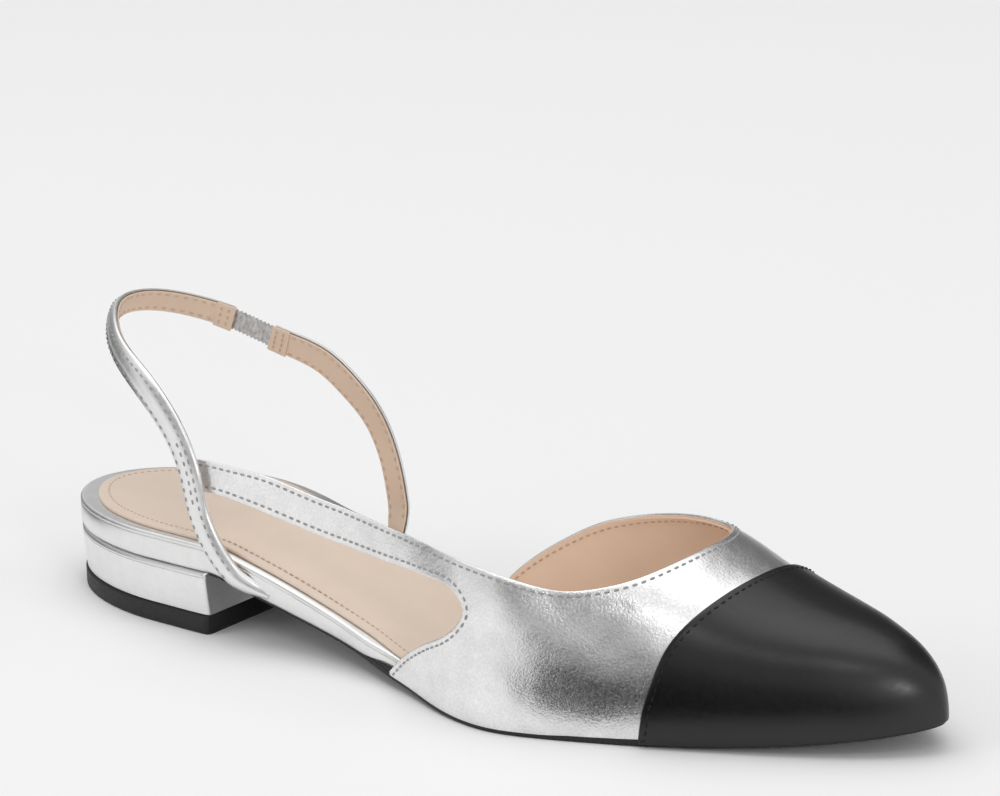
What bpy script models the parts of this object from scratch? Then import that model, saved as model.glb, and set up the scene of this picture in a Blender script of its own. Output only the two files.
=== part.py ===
"""Sling back flat for the right foot.

Sizes are in millimetres and become metres where a mesh is built. The shoe lies along X with its toe at +X,
the outer side of the foot is at -Y and the floor is at Z = 0. A station is a share of the foot length, from
the back of the heel to the tip of the toe. Girth is the share of the way round a cross-section of the upper,
from the near feather edge over the instep to the far one.
"""

from typing import NamedTuple

import bmesh
import bpy
import numpy as np

MM = 0.001

# Main sizes
FOOT_LENGTH = 265.0
BALL_HALF_WIDTH = 38.3
HEEL_HALF_WIDTH = 28.0
INSTEP_HEIGHT = 72.0
HEEL_LENGTH = 64.0
HEEL_HEIGHT = 17.0
LIFT_THICKNESS = 5.2
HEEL_TAPER = 0.4
TOE_SPRING = 6.7
OUTSOLE_THICKNESS = 2.0
SEAT_HEIGHT = 25.0
SOCK_THICKNESS = 0.8
UPPER_WALL = 1.5
CAP_THICKNESS = 1.0
STRAP_THICKNESS = 1.6
ELASTIC_THICKNESS = 1.0
GAP = 0.3
SHARP_ANGLE = 0.6

# Stations where the outline changes from heel to waist and from ball to toe
HEEL_SHARE = 0.17
BALL_SHARE = 0.64
SPRING_SHARE = 0.72
TIP_SHARE = 0.90
TOE_FULLNESS = 1.50
TOE_ROUNDNESS = 1.62
TIP_ROUNDNESS = 2.2
SPRING_CURVE = 2.1


class OutlineRow(NamedTuple):
    """Half width and centre line of the plan, as shares of the ball's half width."""

    station: float
    half_width: float
    centre: float


class SoleRow(NamedTuple):
    """Underside of the outsole and the whole stack on it, as shares of the heel height."""

    station: float
    underside: float
    stack: float


class EdgeRow(NamedTuple):
    """How far the outsole and each side of the footbed stand out from the outline, in shares of the wall."""

    station: float
    outsole: float
    near_footbed: float
    far_footbed: float
    sock: float


class SectionRow(NamedTuple):
    """Cross-section of the upper: height as a share of the instep height, its two powers and its side bulge."""

    station: float
    height: float
    side_power: float
    top_power: float
    bulge: float


class GirthRow(NamedTuple):
    """A point of an edge of the upper."""

    station: float
    girth: float


class Finish(NamedTuple):
    """Look of one material."""

    name: str
    colour: tuple
    roughness: float
    metallic: float


class StrapRow(NamedTuple):
    """A point of the sling strap's middle, its width and how far its outer face leans up.

    Along, the height over the sole's underside and the width are shares of the foot length, and the side is
    a share of the ball's half width, so that the strap's ends stay at the waist. Lean is the rise of the outer
    face's direction for each unit outwards.
    """

    along: float
    side: float
    height: float
    width: float
    lean: float


SILVER = Finish("silver leather", (0.72, 0.71, 0.70), 0.35, 0.9)
BLACK = Finish("black leather", (0.012, 0.011, 0.013), 0.35, 0.0)
RUBBER = Finish("black rubber", (0.015, 0.015, 0.016), 0.6, 0.0)
NUDE = Finish("nude leather", (0.62, 0.47, 0.36), 0.6, 0.0)
ELASTIC = Finish("silver elastic", (0.45, 0.44, 0.43), 0.6, 0.4)

OUTLINE = (
    OutlineRow(0.0, 0.731, 0.040),
    OutlineRow(0.09, 0.731, 0.017),
    OutlineRow(0.17, 0.731, 0.0),
    OutlineRow(0.22, 0.736, -0.006),
    OutlineRow(0.30, 0.700, -0.034),
    OutlineRow(0.40, 0.642, -0.065),
    OutlineRow(0.50, 0.747, -0.117),
    OutlineRow(0.58, 0.915, -0.144),
    OutlineRow(0.64, 1.0, -0.102),
    OutlineRow(0.68, 1.0, -0.045),
    OutlineRow(0.74, 1.0, 0.047),
    OutlineRow(0.82, 1.0, 0.141),
    OutlineRow(0.88, 1.0, 0.183),
    OutlineRow(0.93, 1.0, 0.198),
    OutlineRow(1.00, 1.0, 0.212),
)

SOLE = (
    SoleRow(0.0, 1.0, 0.471),
    SoleRow(0.243, 0.976, 0.485),
    SoleRow(0.30, 0.782, 0.488),
    SoleRow(0.40, 0.388, 0.400),
    SoleRow(0.46, 0.215, 0.335),
    SoleRow(0.50, 0.123, 0.300),
    SoleRow(0.60, 0.003, 0.276),
    SoleRow(0.62, 0.0, 0.276),
    SoleRow(1.0, 0.0, 0.276),
)

EDGES = (
    EdgeRow(0.0, 0.0, 0.0, 0.0, -3.6),
    EdgeRow(0.09, -0.1, 0.0, 0.0, -2.1),
    EdgeRow(0.30, -0.4, 0.0, 0.0, -1.5),
    EdgeRow(0.42, -0.3, 0.0, 0.0, -1.4),
    EdgeRow(0.45, 0.0, 0.0, -1.4, -1.9),
    EdgeRow(0.48, 0.2, -1.4, -1.4, -1.9),
    EdgeRow(0.76, 0.4, -1.4, -1.4, -1.9),
    EdgeRow(0.82, 0.6, -1.4, -1.4, -1.9),
    EdgeRow(1.0, 0.7, -1.4, -1.4, -1.9),
)

SECTION = (
    SectionRow(0.0, 1.0, 0.55, 0.90, 0.039),
    SectionRow(0.30, 1.0, 0.58, 0.90, 0.039),
    SectionRow(0.40, 0.944, 0.60, 0.90, 0.048),
    SectionRow(0.50, 0.840, 0.70, 0.925, 0.057),
    SectionRow(0.60, 0.722, 0.80, 0.95, 0.065),
    SectionRow(0.68, 0.653, 0.83, 0.95, 0.060),
    SectionRow(0.74, 0.598, 0.85, 0.95, 0.056),
    SectionRow(0.82, 0.442, 0.85, 0.95, 0.050),
    SectionRow(0.88, 0.358, 0.85, 0.95, 0.035),
    SectionRow(0.94, 0.290, 0.85, 0.95, 0.015),
    SectionRow(1.00, 0.261, 0.85, 0.95, 0.0),
)


def column(rows, name):
    """One named column of a table as an array."""
    return np.array([getattr(row, name) for row in rows])


def smooth_curve(knots, values, at):
    """Monotone cubic through the knots: a Hermite cubic whose slopes never overshoot the table."""
    knots = np.asarray(knots, float)
    values = np.asarray(values, float)
    step = np.diff(knots)
    slope = np.diff(values) / step
    tangent = np.empty_like(values)
    before = 2 * step[1:] + step[:-1]
    after = step[1:] + 2 * step[:-1]
    same_way = slope[1:] * slope[:-1] > 0
    safe = np.where(slope == 0, 1.0, slope)
    tangent[1:-1] = np.where(same_way, (before + after) / (before / safe[:-1] + after / safe[1:]), 0)
    tangent[0] = slope[0]
    tangent[-1] = slope[-1]
    at = np.clip(at, knots[0], knots[-1])
    cell = np.clip(np.searchsorted(knots, at, side="right") - 1, 0, len(step) - 1)
    share = (at - knots[cell]) / step[cell]
    return (
        values[cell] * (1 + 2 * share) * (1 - share) ** 2
        + tangent[cell] * step[cell] * share * (1 - share) ** 2
        + values[cell + 1] * share**2 * (3 - 2 * share)
        + tangent[cell + 1] * step[cell] * share**2 * (share - 1)
    )


def from_table(rows, name, station):
    """A named column of a station table, read smoothly at any station."""
    return smooth_curve(column(rows, "station"), column(rows, name), station)


def along(station, grow=0.0):
    """X of a station on an outline that stands out by grow all round."""
    return station * FOOT_LENGTH + grow * (2 * station - 1)


def half_width(station, grow=0.0):
    """Half the width of the plan: a round heel, a waist from the table and a tapering toe."""
    station = np.asarray(station, float)
    heel_share = np.clip(1 - station / HEEL_SHARE, 0, 1)
    heel = (HEEL_HALF_WIDTH + grow) * np.sqrt(1 - heel_share**2)
    toe_share = np.clip((station - BALL_SHARE) / (1 - BALL_SHARE), 0, 1)
    toe = (BALL_HALF_WIDTH + grow) * (1 - toe_share**TOE_FULLNESS) ** (1 / TOE_ROUNDNESS)
    waist = BALL_HALF_WIDTH * from_table(OUTLINE, "half_width", station) + grow
    return np.where(station < HEEL_SHARE, heel, np.where(station > BALL_SHARE, toe, waist))


def centre_line(station):
    """Y of the middle of the plan, which turns the toe inwards."""
    return BALL_HALF_WIDTH * from_table(OUTLINE, "centre", station)


def underside(station):
    """Z of the sole's underside: flat under the heel, an arch, flat at the ball, then toe spring."""
    rise = np.clip((station - SPRING_SHARE) / (1 - SPRING_SHARE), 0, 1)
    return HEEL_HEIGHT * from_table(SOLE, "underside", station) + TOE_SPRING * rise**SPRING_CURVE


def outsole_top(station):
    """Z of the outsole's upper face."""
    return underside(station) + OUTSOLE_THICKNESS


def footbed_top(station):
    """Z of the footbed's upper face."""
    seat_scale = (SEAT_HEIGHT - HEEL_HEIGHT) / (HEEL_HEIGHT * SOLE[0].stack)
    return underside(station) + HEEL_HEIGHT * seat_scale * from_table(SOLE, "stack", station)


def upper_surface(station, girth, grow=0.0):
    """Point of the upper's outside, or of a surface that stands out from it by grow.

    Each cross-section is a superellipse that stands on the outsole, with a bulge on both sides; its height
    dies away as a quarter circle over the last share of the toe.
    """
    station, girth = np.broadcast_arrays(np.asarray(station, float), np.asarray(girth, float))
    cosine = np.cos(np.pi * girth)
    sine = np.abs(np.sin(np.pi * girth))
    tip_share = np.clip((station - TIP_SHARE) / (1 - TIP_SHARE), 0, 1)
    height = (INSTEP_HEIGHT * from_table(SECTION, "height", station) + grow) * np.sqrt(
        1 - tip_share**TIP_ROUNDNESS
    )
    reach = half_width(station, grow) * np.abs(cosine) ** from_table(SECTION, "side_power", station)
    bulge = BALL_HALF_WIDTH * from_table(SECTION, "bulge", station) * 2 * sine * np.abs(cosine)
    bulge = bulge * np.sqrt(1 - tip_share**TIP_ROUNDNESS)
    return np.stack(
        [
            along(station, grow),
            centre_line(station) - np.sign(cosine) * (reach + bulge),
            outsole_top(station) + GAP + height * sine ** from_table(SECTION, "top_power", station),
        ],
        axis=-1,
    )


# Opening edge of the upper, from the rear end of the near strip, round the throat and down the far side
TOPLINE = (
    GirthRow(0.232, 0.119),
    GirthRow(0.270, 0.126),
    GirthRow(0.317, 0.141),
    GirthRow(0.386, 0.160),
    GirthRow(0.464, 0.192),
    GirthRow(0.518, 0.218),
    GirthRow(0.571, 0.240),
    GirthRow(0.617, 0.248),
    GirthRow(0.655, 0.248),
    GirthRow(0.690, 0.252),
    GirthRow(0.717, 0.273),
    GirthRow(0.741, 0.313),
    GirthRow(0.761, 0.393),
    GirthRow(0.768, 0.490),
    GirthRow(0.761, 0.580),
    GirthRow(0.742, 0.643),
    GirthRow(0.713, 0.680),
    GirthRow(0.661, 0.736),
    GirthRow(0.620, 0.777),
    GirthRow(0.581, 0.818),
    GirthRow(0.542, 0.871),
    GirthRow(0.503, 0.925),
    GirthRow(0.475, 0.966),
    GirthRow(0.456, 0.997),
)

# Edge of the side cut-out, from the rear end of the strip, round its nose and down to the sole
CUT_OUT = (
    GirthRow(0.232, 0.081),
    GirthRow(0.270, 0.088),
    GirthRow(0.340, 0.101),
    GirthRow(0.411, 0.119),
    GirthRow(0.495, 0.156),
    GirthRow(0.552, 0.184),
    GirthRow(0.586, 0.187),
    GirthRow(0.600, 0.165),
    GirthRow(0.592, 0.130),
    GirthRow(0.558, 0.082),
    GirthRow(0.512, 0.030),
    GirthRow(0.487, 0.003),
)

# Seam of the toe cap across the vamp, from the near feather edge to the far one
CAP_SEAM = (
    GirthRow(0.769, 0.0),
    GirthRow(0.773, 0.048),
    GirthRow(0.780, 0.115),
    GirthRow(0.787, 0.189),
    GirthRow(0.796, 0.259),
    GirthRow(0.808, 0.355),
    GirthRow(0.816, 0.476),
    GirthRow(0.816, 0.584),
    GirthRow(0.8120, 0.700),
    GirthRow(0.8010, 0.820),
    GirthRow(0.7920, 0.920),
    GirthRow(0.7860, 1.0),
)

# Corners of the panels that make up the upper
NOSE_ROW = 7
NOSE_TOP_ROW = 7
NEAR_CORNER_ROW = 10
FAR_CORNER_ROW = 16

# Rows and columns of each panel's grid
WING_ROWS = 5
STRIP_ROWS = 4
THROAT_ROWS = 8
FAR_ROWS = 7
STRIP_COLUMNS = 20
WING_COLUMNS = 8
WAIST_COLUMNS = 9
TOE_COLUMNS = 20
FAR_COLUMNS = 18
CAP_ROWS = 22
CAP_COLUMNS = 12
SOLE_STATIONS = 56
HEEL_STATIONS = 16
STRAP_STATIONS = 44
ELASTIC_STATIONS = 8

# Middle of the sling strap, from the near side of the waist round the back of the ankle to the far side
SLING = (
    StrapRow(0.3245, -0.7597, 0.0119, 0.0100, 0.00),
    StrapRow(0.2900, -0.7652, 0.0163, 0.0210, 0.00),
    StrapRow(0.2615, -0.7749, 0.0377, 0.0255, 0.00),
    StrapRow(0.2452, -0.7819, 0.0695, 0.0265, 0.00),
    StrapRow(0.2382, -0.7888, 0.1037, 0.0275, 0.00),
    StrapRow(0.2268, -0.7819, 0.1309, 0.0275, 0.08),
    StrapRow(0.2071, -0.7597, 0.1548, 0.0272, 0.18),
    StrapRow(0.1650, -0.6988, 0.1867, 0.0270, 0.28),
    StrapRow(0.1176, -0.5480, 0.2068, 0.0255, 0.32),
    StrapRow(0.0824, -0.3266, 0.2192, 0.0250, 0.32),
    StrapRow(0.0578, -0.0782, 0.2241, 0.0245, 0.30),
    StrapRow(0.0489, 0.1564, 0.2223, 0.0245, 0.26),
    StrapRow(0.0561, 0.3653, 0.2172, 0.0245, 0.20),
    StrapRow(0.0792, 0.5224, 0.2094, 0.0245, 0.10),
    StrapRow(0.1170, 0.6269, 0.1987, 0.0258, 0.05),
    StrapRow(0.1717, 0.7313, 0.1788, 0.0274, 0.00),
    StrapRow(0.2193, 0.7832, 0.1633, 0.0299, 0.00),
    StrapRow(0.2526, 0.7908, 0.1434, 0.0305, 0.00),
    StrapRow(0.2795, 0.7832, 0.1260, 0.0290, 0.00),
    StrapRow(0.3049, 0.7569, 0.0932, 0.0275, 0.00),
    StrapRow(0.3211, 0.7051, 0.0545, 0.0275, 0.00),
    StrapRow(0.3269, 0.6815, 0.0267, 0.0230, 0.00),
    StrapRow(0.3290, 0.6725, 0.0101, 0.0130, 0.00),
)
ELASTIC_START_SHARE = 0.632
ELASTIC_END_SHARE = 0.686
ANKLE_SHARE = 0.17
STRAP_CHAMFER = 0.4


def ruled(start_edge, end_edge, shares):
    """Grid of (station, girth) between two edges of equal length, a row for each share of the way."""
    shares = np.asarray(shares)[:, None, None]
    return start_edge[None] * (1 - shares) + end_edge[None] * shares


def edge_points(rows, first, last, count):
    """Points of an edge table between two of its rows, spaced evenly along its length on the foot."""
    stations = column(rows, "station")
    girths = column(rows, "girth")
    knots = np.append(0, np.cumsum(np.hypot(np.diff(stations) * 2, np.diff(girths))))
    at = np.linspace(knots[first], knots[last], count + 1)
    return np.stack([smooth_curve(knots, stations, at), smooth_curve(knots, girths, at)], axis=-1)


def straight(start, end, count):
    """Points of a straight line between two (station, girth) corners."""
    return ruled(np.array([start]), np.array([end]), np.linspace(0, 1, count + 1))[:, 0]


def upper_panels():
    """The grids of (station, girth) that tile the upper, with equal points where they meet."""
    end_row = len(CUT_OUT) - 1
    nose = edge_points(CUT_OUT, NOSE_ROW, NOSE_ROW, 1)[0]
    nose_top = edge_points(TOPLINE, NOSE_TOP_ROW, NOSE_TOP_ROW, 1)[0]
    near_corner = edge_points(TOPLINE, NEAR_CORNER_ROW, NEAR_CORNER_ROW, 1)[0]
    far_corner = edge_points(TOPLINE, FAR_CORNER_ROW, FAR_CORNER_ROW, 1)[0]
    strip = ruled(
        edge_points(CUT_OUT, 0, NOSE_ROW, STRIP_COLUMNS),
        edge_points(TOPLINE, 0, NOSE_TOP_ROW, STRIP_COLUMNS),
        np.linspace(0, 1, STRIP_ROWS + 1),
    )
    nose_foot = np.array([nose[0], 0.0])
    corner_foot = np.array([near_corner[0], 0.0])
    wing_start = np.array([CUT_OUT[end_row].station, 0.0])
    wing = ruled(
        straight(wing_start, nose_foot, WING_COLUMNS),
        edge_points(CUT_OUT, NOSE_ROW, end_row, WING_COLUMNS)[::-1],
        np.linspace(0, 1, WING_ROWS + 1),
    )
    front_of_nose = np.concatenate(
        [straight(nose_foot, nose, WING_ROWS), straight(nose, nose_top, STRIP_ROWS)[1:]]
    )
    side_shares = np.concatenate(
        [
            np.linspace(0, nose[1] / nose_top[1], WING_ROWS + 1),
            np.linspace(nose[1] / nose_top[1], 1, STRIP_ROWS + 1)[1:],
        ]
    )
    throat_side = corner_foot + side_shares[:, None] * (near_corner - corner_foot)
    topline_side = edge_points(TOPLINE, NOSE_TOP_ROW, NEAR_CORNER_ROW, WAIST_COLUMNS)
    feather_side = straight(nose_foot, corner_foot, WAIST_COLUMNS)
    waist = coons(feather_side, topline_side, front_of_nose, throat_side)
    far_foot = np.array([far_corner[0], 1.0])
    throat_edge = np.concatenate(
        [
            throat_side,
            edge_points(TOPLINE, NEAR_CORNER_ROW, FAR_CORNER_ROW, THROAT_ROWS)[1:],
            straight(far_corner, far_foot, FAR_ROWS)[1:],
        ]
    )
    tip_edge = np.stack([np.ones(len(throat_edge)), np.linspace(0, 1, len(throat_edge))], axis=-1)
    toe_shares = np.sin(np.linspace(0, np.pi / 2, TOE_COLUMNS + 1))
    toe = ruled(throat_edge, tip_edge, toe_shares).transpose(1, 0, 2)
    last = len(TOPLINE) - 1
    far_start = np.array([TOPLINE[last].station, 1.0])
    far = ruled(
        edge_points(TOPLINE, FAR_CORNER_ROW, last, FAR_COLUMNS)[::-1],
        straight(far_start, far_foot, FAR_COLUMNS),
        np.linspace(0, 1, FAR_ROWS + 1),
    )
    return [strip, wing, waist, toe, far]


def coons(low, high, left, right):
    """Grid between four edges: rows follow left and right, columns follow low and high."""
    across = np.linspace(0, 1, len(low))[None, :, None]
    up = (left[:, 1] - left[0, 1]) / (left[-1, 1] - left[0, 1])
    up = up[:, None, None]
    between_sides = left[:, None] * (1 - across) + right[:, None] * across
    between_rows = low[None] * (1 - up) + high[None] * up
    corners = (
        low[0] * (1 - across) * (1 - up)
        + low[-1] * across * (1 - up)
        + high[0] * (1 - across) * up
        + high[-1] * across * up
    )
    return between_sides + between_rows - corners


def cap_panel():
    """Grid of (station, girth) of the toe cap, from its seam to the tip."""
    seam = edge_points(CAP_SEAM, 0, len(CAP_SEAM) - 1, CAP_ROWS)
    tip = np.stack([np.ones(len(seam)), np.linspace(0, 1, len(seam))], axis=-1)
    return ruled(seam, tip, np.sin(np.linspace(0, np.pi / 2, CAP_COLUMNS + 1))).transpose(1, 0, 2)


def grid_triangles(rows, columns):
    """Two triangles for each cell of a grid whose points are numbered row by row."""
    index = np.arange(rows * columns).reshape(rows, columns)
    a, b = index[:-1, :-1].ravel(), index[:-1, 1:].ravel()
    c, d = index[1:, 1:].ravel(), index[1:, :-1].ravel()
    return np.concatenate([np.stack([a, b, c], axis=-1), np.stack([a, c, d], axis=-1)])


def shell(panels, outer_grow, inner_grow):
    """Closed wall between two surfaces of the upper: both surfaces and a rim along every free edge."""
    places = np.concatenate([panel.reshape(-1, 2) for panel in panels])
    triangles = []
    start = 0
    for panel in panels:
        rows, columns = panel.shape[:2]
        triangles.append(grid_triangles(rows, columns) + start)
        start += rows * columns
    triangles = np.concatenate(triangles)
    outside = upper_surface(places[:, 0], places[:, 1], outer_grow)
    _, first, index = np.unique(np.round(outside, 3), axis=0, return_index=True, return_inverse=True)
    places = places[first]
    triangles = index.reshape(-1)[triangles]
    triangles = triangles[
        (triangles[:, 0] != triangles[:, 1])
        & (triangles[:, 1] != triangles[:, 2])
        & (triangles[:, 2] != triangles[:, 0])
    ]
    outside = outside[first]
    inside = upper_surface(places[:, 0], places[:, 1], inner_grow)
    count = len(places)
    ends = np.concatenate([triangles[:, [0, 1]], triangles[:, [1, 2]], triangles[:, [2, 0]]])
    _, which, times = np.unique(
        np.sort(ends, axis=1), axis=0, return_inverse=True, return_counts=True
    )
    free = ends[times[which.reshape(-1)] == 1]
    rim = np.stack([free[:, 1], free[:, 0], free[:, 0] + count, free[:, 1] + count], axis=-1)
    rim = np.concatenate([rim[:, [0, 1, 2]], rim[:, [0, 2, 3]]])
    faces = np.concatenate([triangles, triangles[:, ::-1] + count, rim])
    return np.concatenate([outside, inside]), faces


def loft(rings):
    """Closed skin through rings of equal length, with a flat cap on each end."""
    rings = np.asarray(rings)
    count, size = rings.shape[:2]
    index = np.arange(count * size).reshape(count, size)
    a, b = index[:-1], np.roll(index[:-1], -1, axis=1)
    c, d = np.roll(index[1:], -1, axis=1), index[1:]
    sides = np.stack([a, b, c, d], axis=-1).reshape(-1, 4)
    faces = np.concatenate([sides[:, [0, 1, 2]], sides[:, [0, 2, 3]]]).tolist()
    return rings.reshape(-1, 3), faces + [index[0, ::-1].tolist(), index[-1].tolist()]


def make_material(finish):
    """Principled material of one finish."""
    material = bpy.data.materials.new(finish.name)
    material.use_nodes = True
    shader = material.node_tree.nodes["Principled BSDF"]
    shader.inputs["Base Color"].default_value = (*finish.colour, 1.0)
    shader.inputs["Roughness"].default_value = finish.roughness
    shader.inputs["Metallic"].default_value = finish.metallic
    return material


def add_solid(name, points, faces, finish):
    """One named object from points in millimetres, with its faces turned outwards."""
    mesh = bpy.data.meshes.new(name)
    mesh.from_pydata((points * MM).tolist(), [], [list(map(int, face)) for face in faces])
    shape = bmesh.new()
    shape.from_mesh(mesh)
    bmesh.ops.recalc_face_normals(shape, faces=shape.faces)
    shape.to_mesh(mesh)
    shape.free()
    mesh.shade_smooth()
    mesh.set_sharp_from_angle(angle=SHARP_ANGLE)
    mesh.materials.append(make_material(finish))
    solid = bpy.data.objects.new(name, mesh)
    bpy.context.scene.collection.objects.link(solid)
    return solid


def stations_between(first, last, count):
    """Stations spaced closely towards both ends, where the outline turns fastest."""
    return first + (last - first) * (1 - np.cos(np.linspace(0, np.pi, count))) / 2


def sole_stations():
    """Stations of the outsole, from just in front of the heel breast to the toe."""
    first = (HEEL_LENGTH + 2 * GAP) / FOOT_LENGTH
    return first + (0.9999 - first) * np.sin(np.linspace(0, np.pi / 2, SOLE_STATIONS))


def side_points(station, grow, side):
    """X and Y of the outline on the near side (-1) or the far side (1)."""
    return along(station, grow), centre_line(station) + side * half_width(station, grow)


def layer(station, near_grow, far_grow, low, high, edge):
    """Rings of a flat layer: its underside, its sides and its top, with the upper edges eased."""
    near_x, near_y = side_points(station, near_grow, -1)
    far_x, far_y = side_points(station, far_grow, 1)
    ease = np.minimum(edge, (far_y - near_y) / 4)
    return np.stack(
        [
            np.stack([near_x, near_y, low], axis=-1),
            np.stack([far_x, far_y, low], axis=-1),
            np.stack([far_x, far_y, high - ease], axis=-1),
            np.stack([far_x, far_y - ease, high], axis=-1),
            np.stack([near_x, near_y + ease, high], axis=-1),
            np.stack([near_x, near_y, high - ease], axis=-1),
        ],
        axis=1,
    )


def edge_grow(name, station):
    """How far one of the sole's layers stands out from the outline at a station."""
    return UPPER_WALL * from_table(EDGES, name, station)


def build_top_lift():
    """The tread under the heel."""
    station = np.append(stations_between(0.0001, HEEL_SHARE, HEEL_STATIONS), HEEL_LENGTH / FOOT_LENGTH)
    flat = np.zeros_like(station)
    grow = flat - HEEL_TAPER
    return add_solid("top_lift", *loft(layer(station, grow, grow, flat, flat + LIFT_THICKNESS, 0.3)), RUBBER)


def build_heel_block():
    """The covered heel, with a flat breast and sides that taper to the tread."""
    station = np.append(stations_between(0.0001, HEEL_SHARE, HEEL_STATIONS), HEEL_LENGTH / FOOT_LENGTH)
    rings = []
    for grow, height in ((-HEEL_TAPER, LIFT_THICKNESS + GAP), (0.0, HEEL_HEIGHT)):
        near_x, near_y = side_points(station, grow, -1)
        far_x, far_y = side_points(station, grow, 1)
        level = np.full_like(station, height)
        near = np.stack([near_x, near_y, level], axis=-1)
        far = np.stack([far_x, far_y, level], axis=-1)
        rings.append((near, far))
    bottom, top = rings
    return add_solid("heel_block", *loft(np.stack([bottom[0], bottom[1], top[1], top[0]], axis=1)), SILVER)


def build_outsole():
    """The thin sole from the heel breast to the toe."""
    station = sole_stations()
    grow = edge_grow("outsole", station)
    rings = layer(station, grow, grow, underside(station), outsole_top(station), 0.3)
    return add_solid("outsole", *loft(rings), RUBBER)


def build_footbed():
    """The insole board in its wrap: on the heel block, then on the outsole inside the upper."""
    breast = HEEL_LENGTH / FOOT_LENGTH
    station = np.concatenate(
        [
            stations_between(0.0001, breast, HEEL_STATIONS),
            [breast + GAP / FOOT_LENGTH],
            sole_stations(),
        ]
    )
    on_heel = station <= breast
    low = np.where(on_heel, HEEL_HEIGHT, outsole_top(station)) + GAP
    near_grow = edge_grow("near_footbed", station)
    far_grow = edge_grow("far_footbed", station)
    rings = layer(station, near_grow, far_grow, low, footbed_top(station), 0.6)
    rings[on_heel, :, 0] -= GAP * station[on_heel, None] / breast
    return add_solid("footbed", *loft(rings), SILVER)


def build_insole_sock():
    """The soft sheet that the foot rests on."""
    station = stations_between(0.0001, 0.9999, SOLE_STATIONS)
    grow = edge_grow("sock", station)
    low = footbed_top(station) + GAP
    return add_solid("insole_sock", *loft(layer(station, grow, grow, low, low + SOCK_THICKNESS, 0.3)), NUDE)


def build_upper():
    """The vamp, its side strip and its cut-out as one hollow wall."""
    return add_solid("upper", *shell(upper_panels(), 0.0, -UPPER_WALL), SILVER)


def build_toe_cap():
    """The overlay on the toe, a little clear of the vamp."""
    return add_solid("toe_cap", *shell([cap_panel()], GAP + CAP_THICKNESS, GAP), BLACK)


def sling_path(share):
    """Middle of the sling strap, its direction, its outward side and its half width at shares of its length."""
    along_shoe = column(SLING, "along")
    height = underside(along_shoe) + column(SLING, "height") * FOOT_LENGTH
    side = column(SLING, "side") * BALL_HALF_WIDTH
    points = np.stack([along_shoe * FOOT_LENGTH, side, height], axis=-1)
    knots = np.append(0, np.cumsum(np.linalg.norm(np.diff(points, axis=0), axis=1)))
    knots /= knots[-1]

    def at(values, where):
        """A value of the table at shares of the length."""
        return smooth_curve(knots, values, where)

    middle = np.stack([at(points[:, axis], share) for axis in range(3)], axis=-1)
    ahead = np.stack([at(points[:, axis], np.minimum(share + 0.004, 1)) for axis in range(3)], axis=-1)
    behind = np.stack([at(points[:, axis], np.maximum(share - 0.004, 0)) for axis in range(3)], axis=-1)
    direction = ahead - behind
    direction /= np.linalg.norm(direction, axis=1)[:, None]
    back = np.minimum(middle[:, 0] - ANKLE_SHARE * FOOT_LENGTH, 0)
    rise = np.hypot(back, middle[:, 1]) * at(column(SLING, "lean"), share)
    outward = np.stack([back, middle[:, 1], rise], axis=-1)
    outward -= (outward * direction).sum(axis=1)[:, None] * direction
    outward /= np.linalg.norm(outward, axis=1)[:, None]
    return middle, direction, outward, at(column(SLING, "width"), share) * FOOT_LENGTH / 2


def ribbon(first, last, thickness, stations, narrower=0.0):
    """Rings of a flat strap with eased edges along part of the sling's path."""
    share = np.linspace(first, last, stations)
    middle, direction, outward, half = sling_path(share)
    across = np.cross(direction, outward)
    half = half - narrower
    side = np.stack([half, half - STRAP_CHAMFER], axis=-1)
    rise = thickness / 2
    eased = rise - min(STRAP_CHAMFER, rise / 2)
    corners = (
        (side[:, 0], -eased),
        (side[:, 0], eased),
        (side[:, 1], rise),
        (-side[:, 1], rise),
        (-side[:, 0], eased),
        (-side[:, 0], -eased),
        (-side[:, 1], -rise),
        (side[:, 1], -rise),
    )
    return np.stack(
        [middle + across * wide[:, None] + outward * high for wide, high in corners], axis=1
    )


def build_sling():
    """The two straps and the elastic between their ends."""
    near = ribbon(0.0, ELASTIC_START_SHARE, STRAP_THICKNESS, STRAP_STATIONS)
    far = ribbon(ELASTIC_END_SHARE, 1.0, STRAP_THICKNESS, STRAP_STATIONS)
    length = np.linalg.norm(np.diff(sling_path(np.linspace(0, 1, 200))[0], axis=0), axis=1).sum()
    clear = GAP / length
    elastic = ribbon(
        ELASTIC_START_SHARE + clear,
        ELASTIC_END_SHARE - clear,
        ELASTIC_THICKNESS,
        ELASTIC_STATIONS,
        STRAP_THICKNESS - ELASTIC_THICKNESS,
    )
    return [
        add_solid("sling_strap_lateral", *loft(near), SILVER),
        add_solid("sling_elastic", *loft(elastic), ELASTIC),
        add_solid("sling_strap_medial", *loft(far), SILVER),
    ]


def clear_scene():
    """Removes everything that the startup scene holds."""
    for thing in list(bpy.data.objects):
        bpy.data.objects.remove(thing, do_unlink=True)


def stand_on_floor(solids):
    """Hangs every solid on one empty, which puts the middle of the shoe's box over the origin."""
    corners = np.array([corner[:] for solid in solids for corner in solid.bound_box])
    low, high = corners.min(axis=0), corners.max(axis=0)
    shoe = bpy.data.objects.new("shoe", None)
    shoe.location = (-(low[0] + high[0]) / 2, -(low[1] + high[1]) / 2, -low[2])
    bpy.context.scene.collection.objects.link(shoe)
    for solid in solids:
        solid.parent = shoe


def main():
    """Builds the shoe from the sole up."""
    clear_scene()
    solids = [
        build_top_lift(),
        build_heel_block(),
        build_outsole(),
        build_footbed(),
        build_insole_sock(),
        build_upper(),
        build_toe_cap(),
        *build_sling(),
    ]
    stand_on_floor(solids)


if __name__ == "__main__":
    main()
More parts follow.
